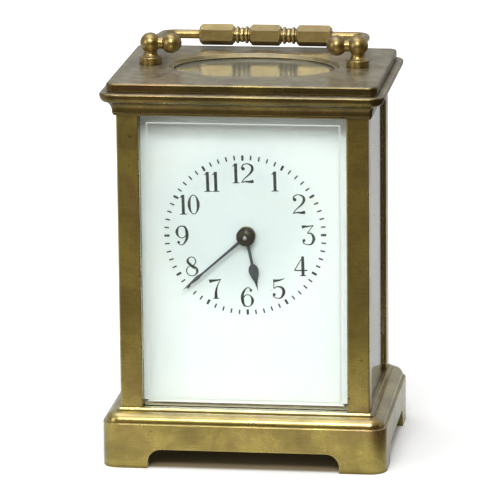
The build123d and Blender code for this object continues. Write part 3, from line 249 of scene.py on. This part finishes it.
def make_dust():
    """Dust that settles on what faces up."""
    group, given, out = effect("dust", [("Amount", 0.5)], ["Dust"])
    normal = place(group, "ShaderNodeNewGeometry").outputs["Normal"]
    up = place(group, "ShaderNodeSeparateXYZ", {0: normal}).outputs["Z"]
    laid = ramp(group, up, 0.35, 0.95)
    loose = ramp(group, noise(group, surface_point(group), 0.35, 6.0, 0.7), 0.35, 0.75, 0.35, 1.0)
    group.links.new(scaled(group, scaled(group, laid, loose), given["Amount"]), out.inputs["Dust"])
    return group


RELIEF, PATINA, RUBBING, DUST = make_relief(), make_patina(), make_rubbing(), make_dust()


# ---------------------------------------------------------------- materials

def blank(name):
    """A material with its shader and output, both ready to wire."""
    material = bpy.data.materials.new(name)
    material.use_nodes = True
    tree = material.node_tree
    tree.nodes.clear()
    shader = place(tree, "ShaderNodeBsdfPrincipled")
    place(tree, "ShaderNodeOutputMaterial", {"Surface": shader.outputs[0]})
    return material, tree, shader


def bump(tree, height, shader, strength, depth):
    made = place(tree, "ShaderNodeBump", {"Height": height, "Strength": strength, "Distance": depth})
    tree.links.new(made.outputs[0], shader.inputs["Normal"])


def aged_brass(name, deep, clean, bright, red, rough=0.26, coat=0.35, dust_amount=0.35):
    """Old brass: tarnished in clouds from clean to deep, with red blotches and bright rubbed edges."""
    material, tree, shader = blank(name)
    edge_wear_and_shade = use(tree, RELIEF)
    old = use(tree, PATINA)
    rubbed = use(tree, RUBBING)
    dust = use(tree, DUST, Amount=dust_amount)["Dust"]
    colour = blend(tree, old["Clouds"], deep, clean)
    colour = blend(tree, scaled(tree, old["Blotches"], 0.6), colour, red)
    colour = blend(tree, scaled(tree, rubbed["Lines"], 0.22), colour, clean)
    # Painted shade: inner corners, found by ambient occlusion, are darkened.
    colour = blend(tree, scaled(tree, edge_wear_and_shade["Corner"], 0.85), colour, CORNER_SHADE)
    colour = blend(tree, scaled(tree, edge_wear_and_shade["Edge"], 0.75), colour, bright)
    colour = blend(tree, scaled(tree, old["Spots"], 0.7), colour, SPOT)
    colour = blend(tree, dust, colour, HOUSE_DUST)
    tree.links.new(colour, shader.inputs["Base Color"])
    tone = maths(tree, "ADD", scaled(tree, old["Clouds"], -0.08), rough + 0.06)
    tone = maths(tree, "ADD", tone, scaled(tree, rubbed["Lines"], 0.07))
    tone = maths(tree, "ADD", tone, scaled(tree, dust, 0.3), True)
    tree.links.new(tone, shader.inputs["Roughness"])
    tree.links.new(maths(tree, "SUBTRACT", 1.0, scaled(tree, dust, 0.7)), shader.inputs["Metallic"])
    out_of_corners = maths(tree, "SUBTRACT", 1.0, scaled(tree, edge_wear_and_shade["Corner"], 1.6), True)
    tree.links.new(scaled(tree, out_of_corners, coat), shader.inputs["Coat Weight"])
    shader.inputs["Coat Roughness"].default_value = 0.18
    bump(tree, rubbed["Height"], shader, 0.015, 0.05 * MM)
    return material


def movement_metal(name, base, shade, rough):
    """Clean, fine-grained metal for the works."""
    material, tree, shader = blank(name)
    edge_wear_and_shade = use(tree, RELIEF, Edge_Width=0.12 * MM, Corner_Depth=0.8 * MM)
    rubbed = use(tree, RUBBING, Line_Scale=3.0)
    old = use(tree, PATINA, Cloud_Scale=0.2)
    colour = blend(tree, scaled(tree, old["Clouds"], 0.5), base, shade)
    # Painted shade for inner corners, and brighter edges.
    corner_shade_colour, on_edges = tuple(0.25 * c for c in shade), tuple(min(1.0, 1.25 * c) for c in base)
    colour = blend(tree, scaled(tree, edge_wear_and_shade["Corner"], 0.7), colour, corner_shade_colour)
    colour = blend(tree, scaled(tree, edge_wear_and_shade["Edge"], 0.5), colour, on_edges)
    tree.links.new(colour, shader.inputs["Base Color"])
    tree.links.new(maths(tree, "ADD", scaled(tree, rubbed["Lines"], 0.12), rough),
                   shader.inputs["Roughness"])
    shader.inputs["Metallic"].default_value = 1.0
    bump(tree, rubbed["Height"], shader, 0.1, 0.03 * MM)
    return material


def old_enamel():
    """White fired enamel with yellowed stains and a few specks, and a painted cool shade over its upper
    middle.
    """
    material, tree, shader = blank("white_enamel")
    at = surface_point(tree)
    stains = ramp(tree, noise(tree, at, 0.045, 5.0, 0.6, 0.8), 0.55, 0.8)
    specks = ramp(tree, noise(tree, at, 0.9, 1.0, 0.4), 0.76, 0.8)
    mottle = noise(tree, at, 0.16, 4.0, 0.6)
    # Painted shade: a cooler, darker patch over the upper middle of the dial, fading out between 12 and 31
    # mm from this point.
    patch = (DIAL_CENTRE.x / MM - 3.0, DIAL_FACE / MM, DIAL_CENTRE.z / MM + 4.35)
    away = place(tree, "ShaderNodeVectorMath", {0: at, 1: patch}, operation="DISTANCE")
    upper_shade = ramp(tree, away.outputs["Value"], 31.0, 12.0)
    colour = blend(tree, mottle, (0.785, 0.825, 0.825), (0.85, 0.865, 0.855))
    colour = blend(tree, scaled(tree, upper_shade, 0.75), colour, (0.6, 0.655, 0.66))
    colour = blend(tree, scaled(tree, stains, 0.4), colour, (0.72, 0.72, 0.56))
    colour = blend(tree, scaled(tree, specks, 0.5), colour, (0.3, 0.32, 0.33))
    tree.links.new(colour, shader.inputs["Base Color"])
    tree.links.new(ramp(tree, mottle, 0.3, 0.7, 0.18, 0.26), shader.inputs["Roughness"])
    shader.inputs["Coat Weight"].default_value = 0.4
    shader.inputs["Coat Roughness"].default_value = 0.05
    bump(tree, mottle, shader, 0.05, 0.1 * MM)
    return material


def dial_black():
    """Fired black of the figures: thin in places, with a green cast."""
    material, tree, shader = blank("dial_black")
    at = surface_point(tree)
    thin = ramp(tree, noise(tree, at, 1.6, 4.0, 0.6), 0.4, 0.75)
    colour = blend(tree, thin, (0.012, 0.018, 0.016), (0.055, 0.07, 0.062))
    tree.links.new(colour, shader.inputs["Base Color"])
    tree.links.new(ramp(tree, thin, 0.0, 1.0, 0.35, 0.5), shader.inputs["Roughness"])
    return material


def blued_steel(name, low, high, rough):
    """Heat-blued steel, greyed with age."""
    material, tree, shader = blank(name)
    old = use(tree, PATINA, Cloud_Scale=0.5)
    rubbed = use(tree, RUBBING, Line_Scale=5.0)
    edge_wear_and_shade = use(tree, RELIEF, Edge_Width=0.08 * MM, Corner_Depth=0.5 * MM)
    colour = blend(tree, old["Clouds"], low, high)
    colour = blend(tree, scaled(tree, edge_wear_and_shade["Edge"], 0.4), colour, (0.25, 0.26, 0.3))
    tree.links.new(colour, shader.inputs["Base Color"])
    tree.links.new(maths(tree, "ADD", scaled(tree, rubbed["Lines"], 0.1), rough),
                   shader.inputs["Roughness"])
    shader.inputs["Metallic"].default_value = 0.85
    return material


def plate_glass(name, tint, clearness=1.0, film=0.0):
    """Glass that lets light through to what it covers; a film of dust dulls what it mirrors."""
    material, tree, shader = blank(name)
    haze = noise(tree, surface_point(tree), 0.08, 5.0, 0.7)
    tree.links.new(ramp(tree, haze, 0.45, 0.8, film, film + 0.035), shader.inputs["Roughness"])
    shader.inputs["Base Color"].default_value = (*tint, 1.0)
    shader.inputs["Transmission Weight"].default_value = clearness
    shader.inputs["IOR"].default_value = 1.5
    clear = place(tree, "ShaderNodeBsdfTransparent", {"Color": (*tint, 1.0)})
    shadow = place(tree, "ShaderNodeLightPath").outputs["Is Shadow Ray"]
    mixed = place(tree, "ShaderNodeMixShader", {0: shadow, 1: shader.outputs[0], 2: clear.outputs[0]})
    output = next(n for n in tree.nodes if n.type == "OUTPUT_MATERIAL")
    tree.links.new(mixed.outputs[0], output.inputs["Surface"])
    return material


def ground_glass():
    """Pale, partly clear strip that paints a highlight line along the glass's bevel."""
    material, tree, shader = blank("ground_glass")
    grain = noise(tree, surface_point(tree), 3.0, 3.0)
    tree.links.new(blend(tree, grain, (0.5, 0.56, 0.54), (0.8, 0.85, 0.83)), shader.inputs["Base Color"])
    tree.links.new(ramp(tree, grain, 0.2, 0.8, 0.35, 0.6), shader.inputs["Roughness"])
    shader.inputs["Transmission Weight"].default_value = 0.35
    return material


def ruby():
    """Red pivot jewels."""
    material, tree, shader = blank("ruby")
    depth = noise(tree, surface_point(tree), 1.2, 2.0)
    colour = blend(tree, depth, (0.5, 0.01, 0.06), (0.75, 0.04, 0.16))
    tree.links.new(colour, shader.inputs["Base Color"])
    shader.inputs["Roughness"].default_value = 0.05
    shader.inputs["Coat Weight"].default_value = 1.0
    return material


MATERIALS = {
    "case_brass": aged_brass("case_brass", deep=(0.25, 0.19, 0.05), clean=(0.48, 0.39, 0.1),
                             bright=(0.88, 0.75, 0.36), red=(0.31, 0.17, 0.08), rough=0.24, coat=0.8),
    "movement_brass": movement_metal("movement_brass", (0.78, 0.56, 0.23), (0.6, 0.4, 0.13), 0.24),
    "gilt_brass": movement_metal("gilt_brass", (0.85, 0.62, 0.26), (0.7, 0.48, 0.17), 0.16),
    "steel": movement_metal("steel", (0.56, 0.56, 0.57), (0.4, 0.4, 0.42), 0.2),
    "blued_steel": blued_steel("blued_steel", (0.035, 0.045, 0.08), (0.06, 0.075, 0.12), 0.28),
    "enamel": old_enamel(),
    "glass": plate_glass("plate_glass", (0.95, 0.985, 0.975)),
    "ruby": ruby(),
}
HAND_STEEL = blued_steel("hand_steel", (0.07, 0.082, 0.1), (0.115, 0.127, 0.15), 0.38)
COLLET_STEEL = blued_steel("collet_steel", (0.02, 0.018, 0.014), (0.045, 0.038, 0.03), 0.34)
TOP_BRASS = aged_brass("top_brass", deep=(0.09, 0.068, 0.025), clean=(0.215, 0.165, 0.045),
                       bright=(0.84, 0.7, 0.34), red=(0.2, 0.09, 0.045), dust_amount=0.66)
GRIP_BRASS = aged_brass("grip_brass", deep=(0.36, 0.265, 0.1), clean=(0.62, 0.48, 0.19),
                        bright=(0.88, 0.75, 0.4), red=(0.4, 0.2, 0.11), coat=0.8)
POST_BRASS = aged_brass("post_brass", deep=(0.2, 0.14, 0.05), clean=(0.37, 0.27, 0.09),
                        bright=(0.7, 0.54, 0.26), red=(0.3, 0.14, 0.08), rough=0.3)
DUSTY_GLASS = plate_glass("dusty_glass", (0.42, 0.43, 0.37), clearness=0.8, film=0.1)
PIN_STEEL = movement_metal("pin_steel", (0.95, 0.95, 0.94), (0.8, 0.8, 0.8), 0.3)
DIAL_BLACK = dial_black()
# Material for the painted highlight line along the front glass's bevel.
BEVEL_HIGHLIGHT_GLASS = ground_glass()
# CAD pieces that look different from the rest of their slot
SPECIAL = {
    "hour_hand": HAND_STEEL, "minute_hand": HAND_STEEL, "hand_collet": COLLET_STEEL,
    "cornice": TOP_BRASS, "handle_grip": GRIP_BRASS, "handle_posts": POST_BRASS,
    "handle_bail": POST_BRASS, "handle_pivot_screws": POST_BRASS, "top_glass": DUSTY_GLASS,
}


def finish_nodes():
    """Give every CAD piece its material."""
    for name, piece in frame["nodes"].items():
        material = SPECIAL.get(name, MATERIALS[SLOT_OF[name]])
        if not piece.material_slots:
            piece.data.materials.append(material)
        for slot in piece.material_slots:
            slot.material = material


# ---------------------------------------------------------------- figures and minute track

# Figures are pen strokes in a box one unit high: each point is (across, up, width of the stroke),
# and a dot is (across, up, radius). Ovals are (centre, half width, half height, left, right, thin).
# A figure given as another figure's name is that figure turned upside down.
FIGURES = {
    "0": {"ovals": [((0.3, 0.5), 0.225, 0.475, 0.15, 0.15, 0.045)], "width": 0.6},
    "1": {"strokes": [[(0.2, 0.02, 0.15), (0.2, 0.5, 0.15), (0.2, 0.99, 0.15)],
                      [(0.02, 0.015, 0.035), (0.2, 0.02, 0.05), (0.38, 0.015, 0.035)],
                      [(0.03, 0.84, 0.02), (0.1, 0.88, 0.05), (0.18, 0.97, 0.05)]], "width": 0.4},
    "2": {"strokes": [[(0.09, 0.7, 0.09), (0.12, 0.89, 0.06), (0.33, 0.97, 0.05), (0.56, 0.87, 0.1),
                       (0.6, 0.68, 0.13), (0.47, 0.47, 0.09), (0.2, 0.23, 0.05), (0.05, 0.03, 0.05)],
                      [(0.03, 0.02, 0.02), (0.24, 0.075, 0.07), (0.46, 0.065, 0.12), (0.64, 0.095, 0.17)]],
          "dots": [(0.15, 0.72, 0.085)], "width": 0.68},
    "3": {"strokes": [[(0.04, 0.9, 0.17), (0.14, 0.93, 0.13), (0.32, 0.94, 0.08), (0.5, 0.965, 0.05),
                       (0.62, 0.99, 0.04)],
                      [(0.59, 0.98, 0.035), (0.44, 0.78, 0.04), (0.3, 0.6, 0.05)],
                      [(0.3, 0.59, 0.045), (0.5, 0.57, 0.08), (0.61, 0.32, 0.15), (0.5, 0.07, 0.09),
                       (0.3, 0.02, 0.045), (0.1, 0.1, 0.05), (0.08, 0.22, 0.06)]],
          "dots": [(0.12, 0.23, 0.075)], "width": 0.68},
    "4": {"strokes": [[(0.44, 0.04, 0.15), (0.44, 0.5, 0.15), (0.44, 0.99, 0.13)],
                      [(0.46, 0.98, 0.04), (0.24, 0.64, 0.045), (0.03, 0.3, 0.05)],
                      [(0.02, 0.285, 0.06), (0.35, 0.28, 0.06), (0.66, 0.285, 0.06)],
                      [(0.28, 0.015, 0.035), (0.44, 0.02, 0.05), (0.6, 0.015, 0.035)]], "width": 0.68},
    "5": {"strokes": [[(0.08, 0.9, 0.17), (0.2, 0.91, 0.13), (0.42, 0.94, 0.08), (0.66, 1.03, 0.02)],
                      [(0.12, 0.96, 0.04), (0.11, 0.75, 0.04), (0.1, 0.53, 0.045)],
                      [(0.1, 0.5, 0.04), (0.28, 0.61, 0.06), (0.52, 0.54, 0.12), (0.59, 0.32, 0.15),
                       (0.47, 0.07, 0.09), (0.28, 0.02, 0.045), (0.09, 0.1, 0.05), (0.07, 0.2, 0.06)]],
          "dots": [(0.11, 0.21, 0.075)], "width": 0.66},
    "6": {"strokes": [[(0.55, 0.84, 0.06), (0.46, 0.96, 0.045), (0.3, 0.94, 0.06), (0.12, 0.66, 0.13),
                       (0.1, 0.36, 0.15), (0.18, 0.08, 0.09), (0.34, 0.02, 0.045)]],
          "ovals": [((0.36, 0.32), 0.24, 0.3, 0.07, 0.14, 0.045)],
          "dots": [(0.53, 0.84, 0.07)], "width": 0.68},
    "7": {"strokes": [[(0.02, 0.88, 0.2), (0.14, 0.91, 0.14), (0.34, 0.93, 0.1), (0.5, 0.96, 0.06),
                       (0.62, 0.99, 0.035)],
                      [(0.59, 0.99, 0.035), (0.42, 0.66, 0.06), (0.34, 0.36, 0.12), (0.33, 0.03, 0.16)],
                      [(0.17, 0.015, 0.035), (0.33, 0.02, 0.05), (0.49, 0.015, 0.035)]], "width": 0.64},
    "8": {"ovals": [((0.33, 0.76), 0.2, 0.215, 0.12, 0.06, 0.045),
                    ((0.33, 0.28), 0.265, 0.26, 0.06, 0.12, 0.045)],
          "strokes": [[(0.17, 0.72, 0.08), (0.3, 0.55, 0.13), (0.5, 0.38, 0.1)]], "width": 0.66},
    "9": "6",
}


def pen_line(points, steps=7):
    """A smooth curve through the given points, as (x, y, width) samples."""
    ends = [points[0]] + points + [points[-1]]
    run = []
    for p0, p1, p2, p3 in zip(ends, ends[1:], ends[2:], ends[3:]):
        for k in range(steps):
            t = k / steps
            run.append(tuple(
                0.5 * (2 * b + (c - a) * t + (2 * a - 5 * b + 4 * c - d) * t * t
                       + (3 * b - a - 3 * c + d) * t ** 3)
                for a, b, c, d in zip(p0, p1, p2, p3)
            ))
    return run + [points[-1]]


def stroke_faces(points):
    """Four-sided patches along a stroke, each a list of (x, y)."""
    run = pen_line(points)
    rails = []
    for k, (x, y, width) in enumerate(run):
        before, after = run[max(k - 1, 0)], run[min(k + 1, len(run) - 1)]
        dx, dy = after[0] - before[0], after[1] - before[1]
        length = hypot(dx, dy) or 1.0
        off = (-dy / length * width / 2, dx / length * width / 2)
        rails.append(((x - off[0], y - off[1]), (x + off[0], y + off[1])))
    return [[a[0], b[0], b[1], a[1]] for a, b in zip(rails, rails[1:])]


def oval_faces(centre, half_w, half_h, left, right, thin, steps=40):
    """A ring whose wall is thick at its sides and thin above and below."""
    rails = []
    for k in range(steps + 1):
        a = 2 * pi * k / steps
        side = right if cos(a) > 0 else left
        wall = thin + (side - thin) * cos(a) ** 2
        rails.append([
            (centre[0] + (half_w + s * wall / 2) * cos(a), centre[1] + (half_h + s * thin / 2) * sin(a))
            for s in (1, -1)
        ])
    return [[a[0], b[0], b[1], a[1]] for a, b in zip(rails, rails[1:])]


def dot_faces(x, y, radius, steps=18):
    turns = [2 * pi * k / steps for k in range(steps)]
    return [[(x + radius * cos(a), y + radius * sin(a)) for a in turns]]


def figure_faces(figure):
    """All patches of one figure, and its width."""
    drawn = FIGURES[figure]
    if isinstance(drawn, str):
        patches, width = figure_faces(drawn)
        return [[(width - x, 1.0 - y) for x, y in patch] for patch in patches], width
    patches = []
    for points in drawn.get("strokes", []):
        patches += stroke_faces(points)
    for oval in drawn.get("ovals", []):
        patches += oval_faces(*oval)
    for dot in drawn.get("dots", []):
        patches += dot_faces(*dot)
    return patches, drawn["width"]


def askew(x, z):
    """Turn and shift a point, measured from the dial's centre, as the whole print is."""
    return (DIAL_CENTRE.x + PRINT_SHIFT + x * cos(PRINT_TURN) - z * sin(PRINT_TURN),
            DIAL_CENTRE.z + x * sin(PRINT_TURN) + z * cos(PRINT_TURN))


def raised_print(name, patches):
    """Thin raised patches on the dial's face; a patch is a list of (x, z) from the dial's centre."""
    mesh = bmesh.new()
    for patch in patches:
        area = sum(a[0] * b[1] - b[0] * a[1] for a, b in zip(patch, patch[1:] + patch[:1]))
        ring = [askew(x, z) for x, z in (patch if area > 0 else patch[::-1])]
        front = [mesh.verts.new((x, DIAL_FACE - PRINT_HEIGHT, z)) for x, z in ring]
        back = [mesh.verts.new((x, DIAL_FACE - PRINT_FOOT, z)) for x, z in ring]
        mesh.faces.new(front)
        mesh.faces.new(back[::-1])
        for k in range(len(ring)):
            n = (k + 1) % len(ring)
            mesh.faces.new((front[n], front[k], back[k], back[n]))
    add_piece(name, mesh, DIAL_BLACK, "root")


def hour_figures():
    """Twelve upright figures round the dial."""
    patches = []
    for hour in range(1, 13):
        a = radians(90 - 30 * hour)
        drawn = [figure_faces(figure) for figure in str(hour)]
        gap = 0.0 if hour == 11 else FIGURE_GAP
        left = -(sum(width for _, width in drawn) + gap * (len(drawn) - 1)) / 2
        for shape, width in drawn:
            for patch in shape:
                patches.append([
                    (FIGURE_RING * cos(a) + (left + x) * FIGURE_HEIGHT,
                     FIGURE_RING * sin(a) + (y - 0.5) * FIGURE_HEIGHT)
                    for x, y in patch
                ])
            left += width + gap
    raised_print("hour_figures", patches)


def minute_track():
    """Sixty dashes, every fifth one bolder."""
    patches = []
    for minute in range(60):
        a = radians(6 * minute)
        half, length = (BOLD_HALF, BOLD_DASH) if minute % 5 == 0 else (DASH_HALF, DASH)
        inner = TRACK_OUTER - length
        corners = [(-half, inner), (half, inner), (half, TRACK_OUTER), (-half, TRACK_OUTER)]
        patches.append([
            (across * cos(a) + out * sin(a), out * cos(a) - across * sin(a)) for across, out in corners
        ])
    raised_print("minute_track", patches)


# ---------------------------------------------------------------- painted glass highlight line and hand pin

def bevel_arris():
    """A thin raised strip, a painted highlight line, where the front glass's bevel meets its flat."""
    low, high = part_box("front_glass")
    line = [(low.x + BEVEL, low.z + BEVEL), (high.x - BEVEL, low.z + BEVEL),
            (high.x - BEVEL, high.z - BEVEL), (low.x + BEVEL, high.z - BEVEL)]
    inward = [(1, 1), (-1, 1), (-1, -1), (1, -1)]
    mesh = bmesh.new()
    rows = []
    for inset, proud in ((-ARRIS_W, 0.0), (0.0, ARRIS_H), (ARRIS_W, 0.0)):
        rows.append([
            mesh.verts.new((x + sx * inset, low.y - proud, z + sz * inset))
            for (x, z), (sx, sz) in zip(line, inward)
        ])
    for first, second in zip(rows, rows[1:] + rows[:1]):
        for k in range(4):
            n = (k + 1) % 4
            mesh.faces.new((first[k], first[n], second[n], second[k]))
    bmesh.ops.recalc_face_normals(mesh, faces=mesh.faces)
    add_piece("bevel_arris", mesh, BEVEL_HIGHLIGHT_GLASS, "root")


def lathe(profile, centre, steps=48):
    """A solid turned about a front-to-back line; its profile is (radius, y), from pole to pole."""
    mesh = bmesh.new()
    turns = [2 * pi * k / steps for k in range(steps)]
    rings = []
    for radius, y in profile:
        around = turns if radius else turns[:1]
        rings.append([
            mesh.verts.new((centre.x + radius * cos(a), y, centre.z + radius * sin(a))) for a in around
        ])
    for first, second in zip(rings, rings[1:]):
        for k in range(steps):
            n = (k + 1) % steps
            corners = [first[k % len(first)], first[n % len(first)],
                       second[n % len(second)], second[k % len(second)]]
            mesh.faces.new(list(dict.fromkeys(corners)))
    bmesh.ops.recalc_face_normals(mesh, faces=mesh.faces)
    for face in mesh.faces:
        face.smooth = True
    return mesh


def hand_pin():
    """The polished end of the arbor that shows in the middle of the collet."""
    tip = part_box("hand_collet")[0].y
    dome = [(0, -0.12), (0.35, -0.11), (0.7, -0.06), (0.93, 0.02), (1.0, 0.12)]
    profile = [(share * PIN_R, tip + depth * MM) for share, depth in dome]
    profile += [(PIN_R, tip + PIN_DEPTH), (0, tip + PIN_DEPTH)]
    add_piece("hand_pin", lathe(profile, middle("hand_collet")), PIN_STEEL, "minute")


# ---------------------------------------------------------------- stage, light and camera

def soft_box(name, at, size, power):
    """A rectangular area light aimed at the case."""
    light = bpy.data.lights.new(name, "AREA")
    light.shape = "RECTANGLE"
    light.size, light.size_y = size
    light.energy = power
    lamp = bpy.data.objects.new(name, light)
    lamp.location = at
    lamp.rotation_euler = (Vector(LIGHT_AIM) - Vector(at)).to_track_quat("-Z", "Y").to_euler()
    bpy.context.scene.collection.objects.link(lamp)


def floor_paper():
    """White paper, with a painted shadow directly under the clock; behind the clock it glows a little.
    Mirrored in metal it is pale near the clock and dark in front and to the right.
    """
    material, tree, shader = blank("floor_paper")
    position = place(tree, "ShaderNodeNewGeometry").outputs["Position"]
    at = place(tree, "ShaderNodeSeparateXYZ", {0: position}).outputs
    mirrored = place(tree, "ShaderNodeLightPath").outputs["Is Glossy Ray"]

    near = ramp(tree, at["Y"], -0.02, -0.05)
    far = ramp(tree, at["Y"], -0.08, -0.15)
    aside = ramp(tree, maths(tree, "ADD", at["X"], scaled(tree, at["Y"], -0.2)), 0.05, 0.078)
    seen = blend(tree, near, FLOOR_BACK, FLOOR_NEAR)
    seen = blend(tree, far, seen, FLOOR_FAR)
    seen = blend(tree, aside, seen, FLOOR_ASIDE)

    grain = ramp(tree, noise(tree, surface_point(tree), 0.02, 3.0), 0.2, 0.8, 0.9, 0.93)
    white = place(tree, "ShaderNodeCombineColor", {0: grain, 1: grain, 2: grain}).outputs[0]
    # Painted shadow: the paper directly under the clock is darkened.
    across = maths(tree, "DIVIDE", maths(tree, "ABSOLUTE", at["X"]), CAD_BOX[1][0])
    along = maths(tree, "DIVIDE", maths(tree, "ABSOLUTE", at["Y"]), CAD_BOX[1][1])
    under_clock_shadow = ramp(tree, maths(tree, "MAXIMUM", across, along), 1.0, 0.9)
    white = blend(tree, under_clock_shadow, white, FLOOR_SHADOW)
    tree.links.new(blend(tree, mirrored, white, seen), shader.inputs["Base Color"])
    shader.inputs["Roughness"].default_value = 0.9

    behind = ramp(tree, at["Y"], 0.05, 0.6, 0.0, 0.5)
    glow = scaled(tree, behind, maths(tree, "SUBTRACT", 1.0, mirrored))
    shader.inputs["Emission Color"].default_value = WHITE
    tree.links.new(glow, shader.inputs["Emission Strength"])
    return material


def pale_floor():
    mesh = bmesh.new()
    bmesh.ops.create_grid(mesh, x_segments=8, y_segments=8, size=FLOOR_HALF)
    floor = new_object("floor", mesh)
    floor.data.materials.append(floor_paper())


def studio_world():
    """Even white light; metal mirrors a dim room in front, with a dark corner, and pale walls behind."""
    world = bpy.data.worlds.new("studio")
    bpy.context.scene.world = world
    world.use_nodes = True
    tree = world.node_tree
    tree.nodes.clear()
    way = place(tree, "ShaderNodeTexCoord").outputs["Generated"]
    parts = place(tree, "ShaderNodeSeparateXYZ", {0: way}).outputs
    front = ramp(tree, parts["Y"], 0.3, -0.5)
    high = ramp(tree, parts["Z"], 0.3, 0.85)
    corner = ramp(tree, maths(tree, "SUBTRACT", scaled(tree, parts["X"], 0.7), parts["Y"]), 0.75, 1.1)
    seen = blend(tree, front, ROOM_WALLS, ROOM_FRONT)
    seen = blend(tree, corner, seen, ROOM_CORNER)
    seen = blend(tree, high, seen, ROOM_CEILING)
    path = place(tree, "ShaderNodeLightPath").outputs
    mirrored = maths(tree, "SUBTRACT", path["Is Glossy Ray"], path["Is Transmission Ray"], True)
    colour = blend(tree, mirrored, ROOM_LIGHT, seen)
    back = place(tree, "ShaderNodeBackground", {"Color": colour, "Strength": 1.0})
    place(tree, "ShaderNodeOutputWorld", {"Surface": back.outputs[0]})


def stand_camera():
    data = bpy.data.cameras.new("camera")
    data.lens, data.sensor_width = CAMERA_LENS, SENSOR
    data.clip_end = FAR_CLIP
    camera = bpy.data.objects.new("camera", data)
    camera.location = CAMERA_AT
    camera.rotation_euler = [radians(a) for a in CAMERA_TURN]
    bpy.context.scene.collection.objects.link(camera)
    bpy.context.scene.camera = camera


# ---------------------------------------------------------------- the scene

stand_camera()
pale_floor()
studio_world()
for box in SOFT_BOXES:
    soft_box(*box)
finish_nodes()
hour_figures()
minute_track()
bevel_arris()
hand_pin()
bpy.context.scene.view_settings.view_transform = "Standard"
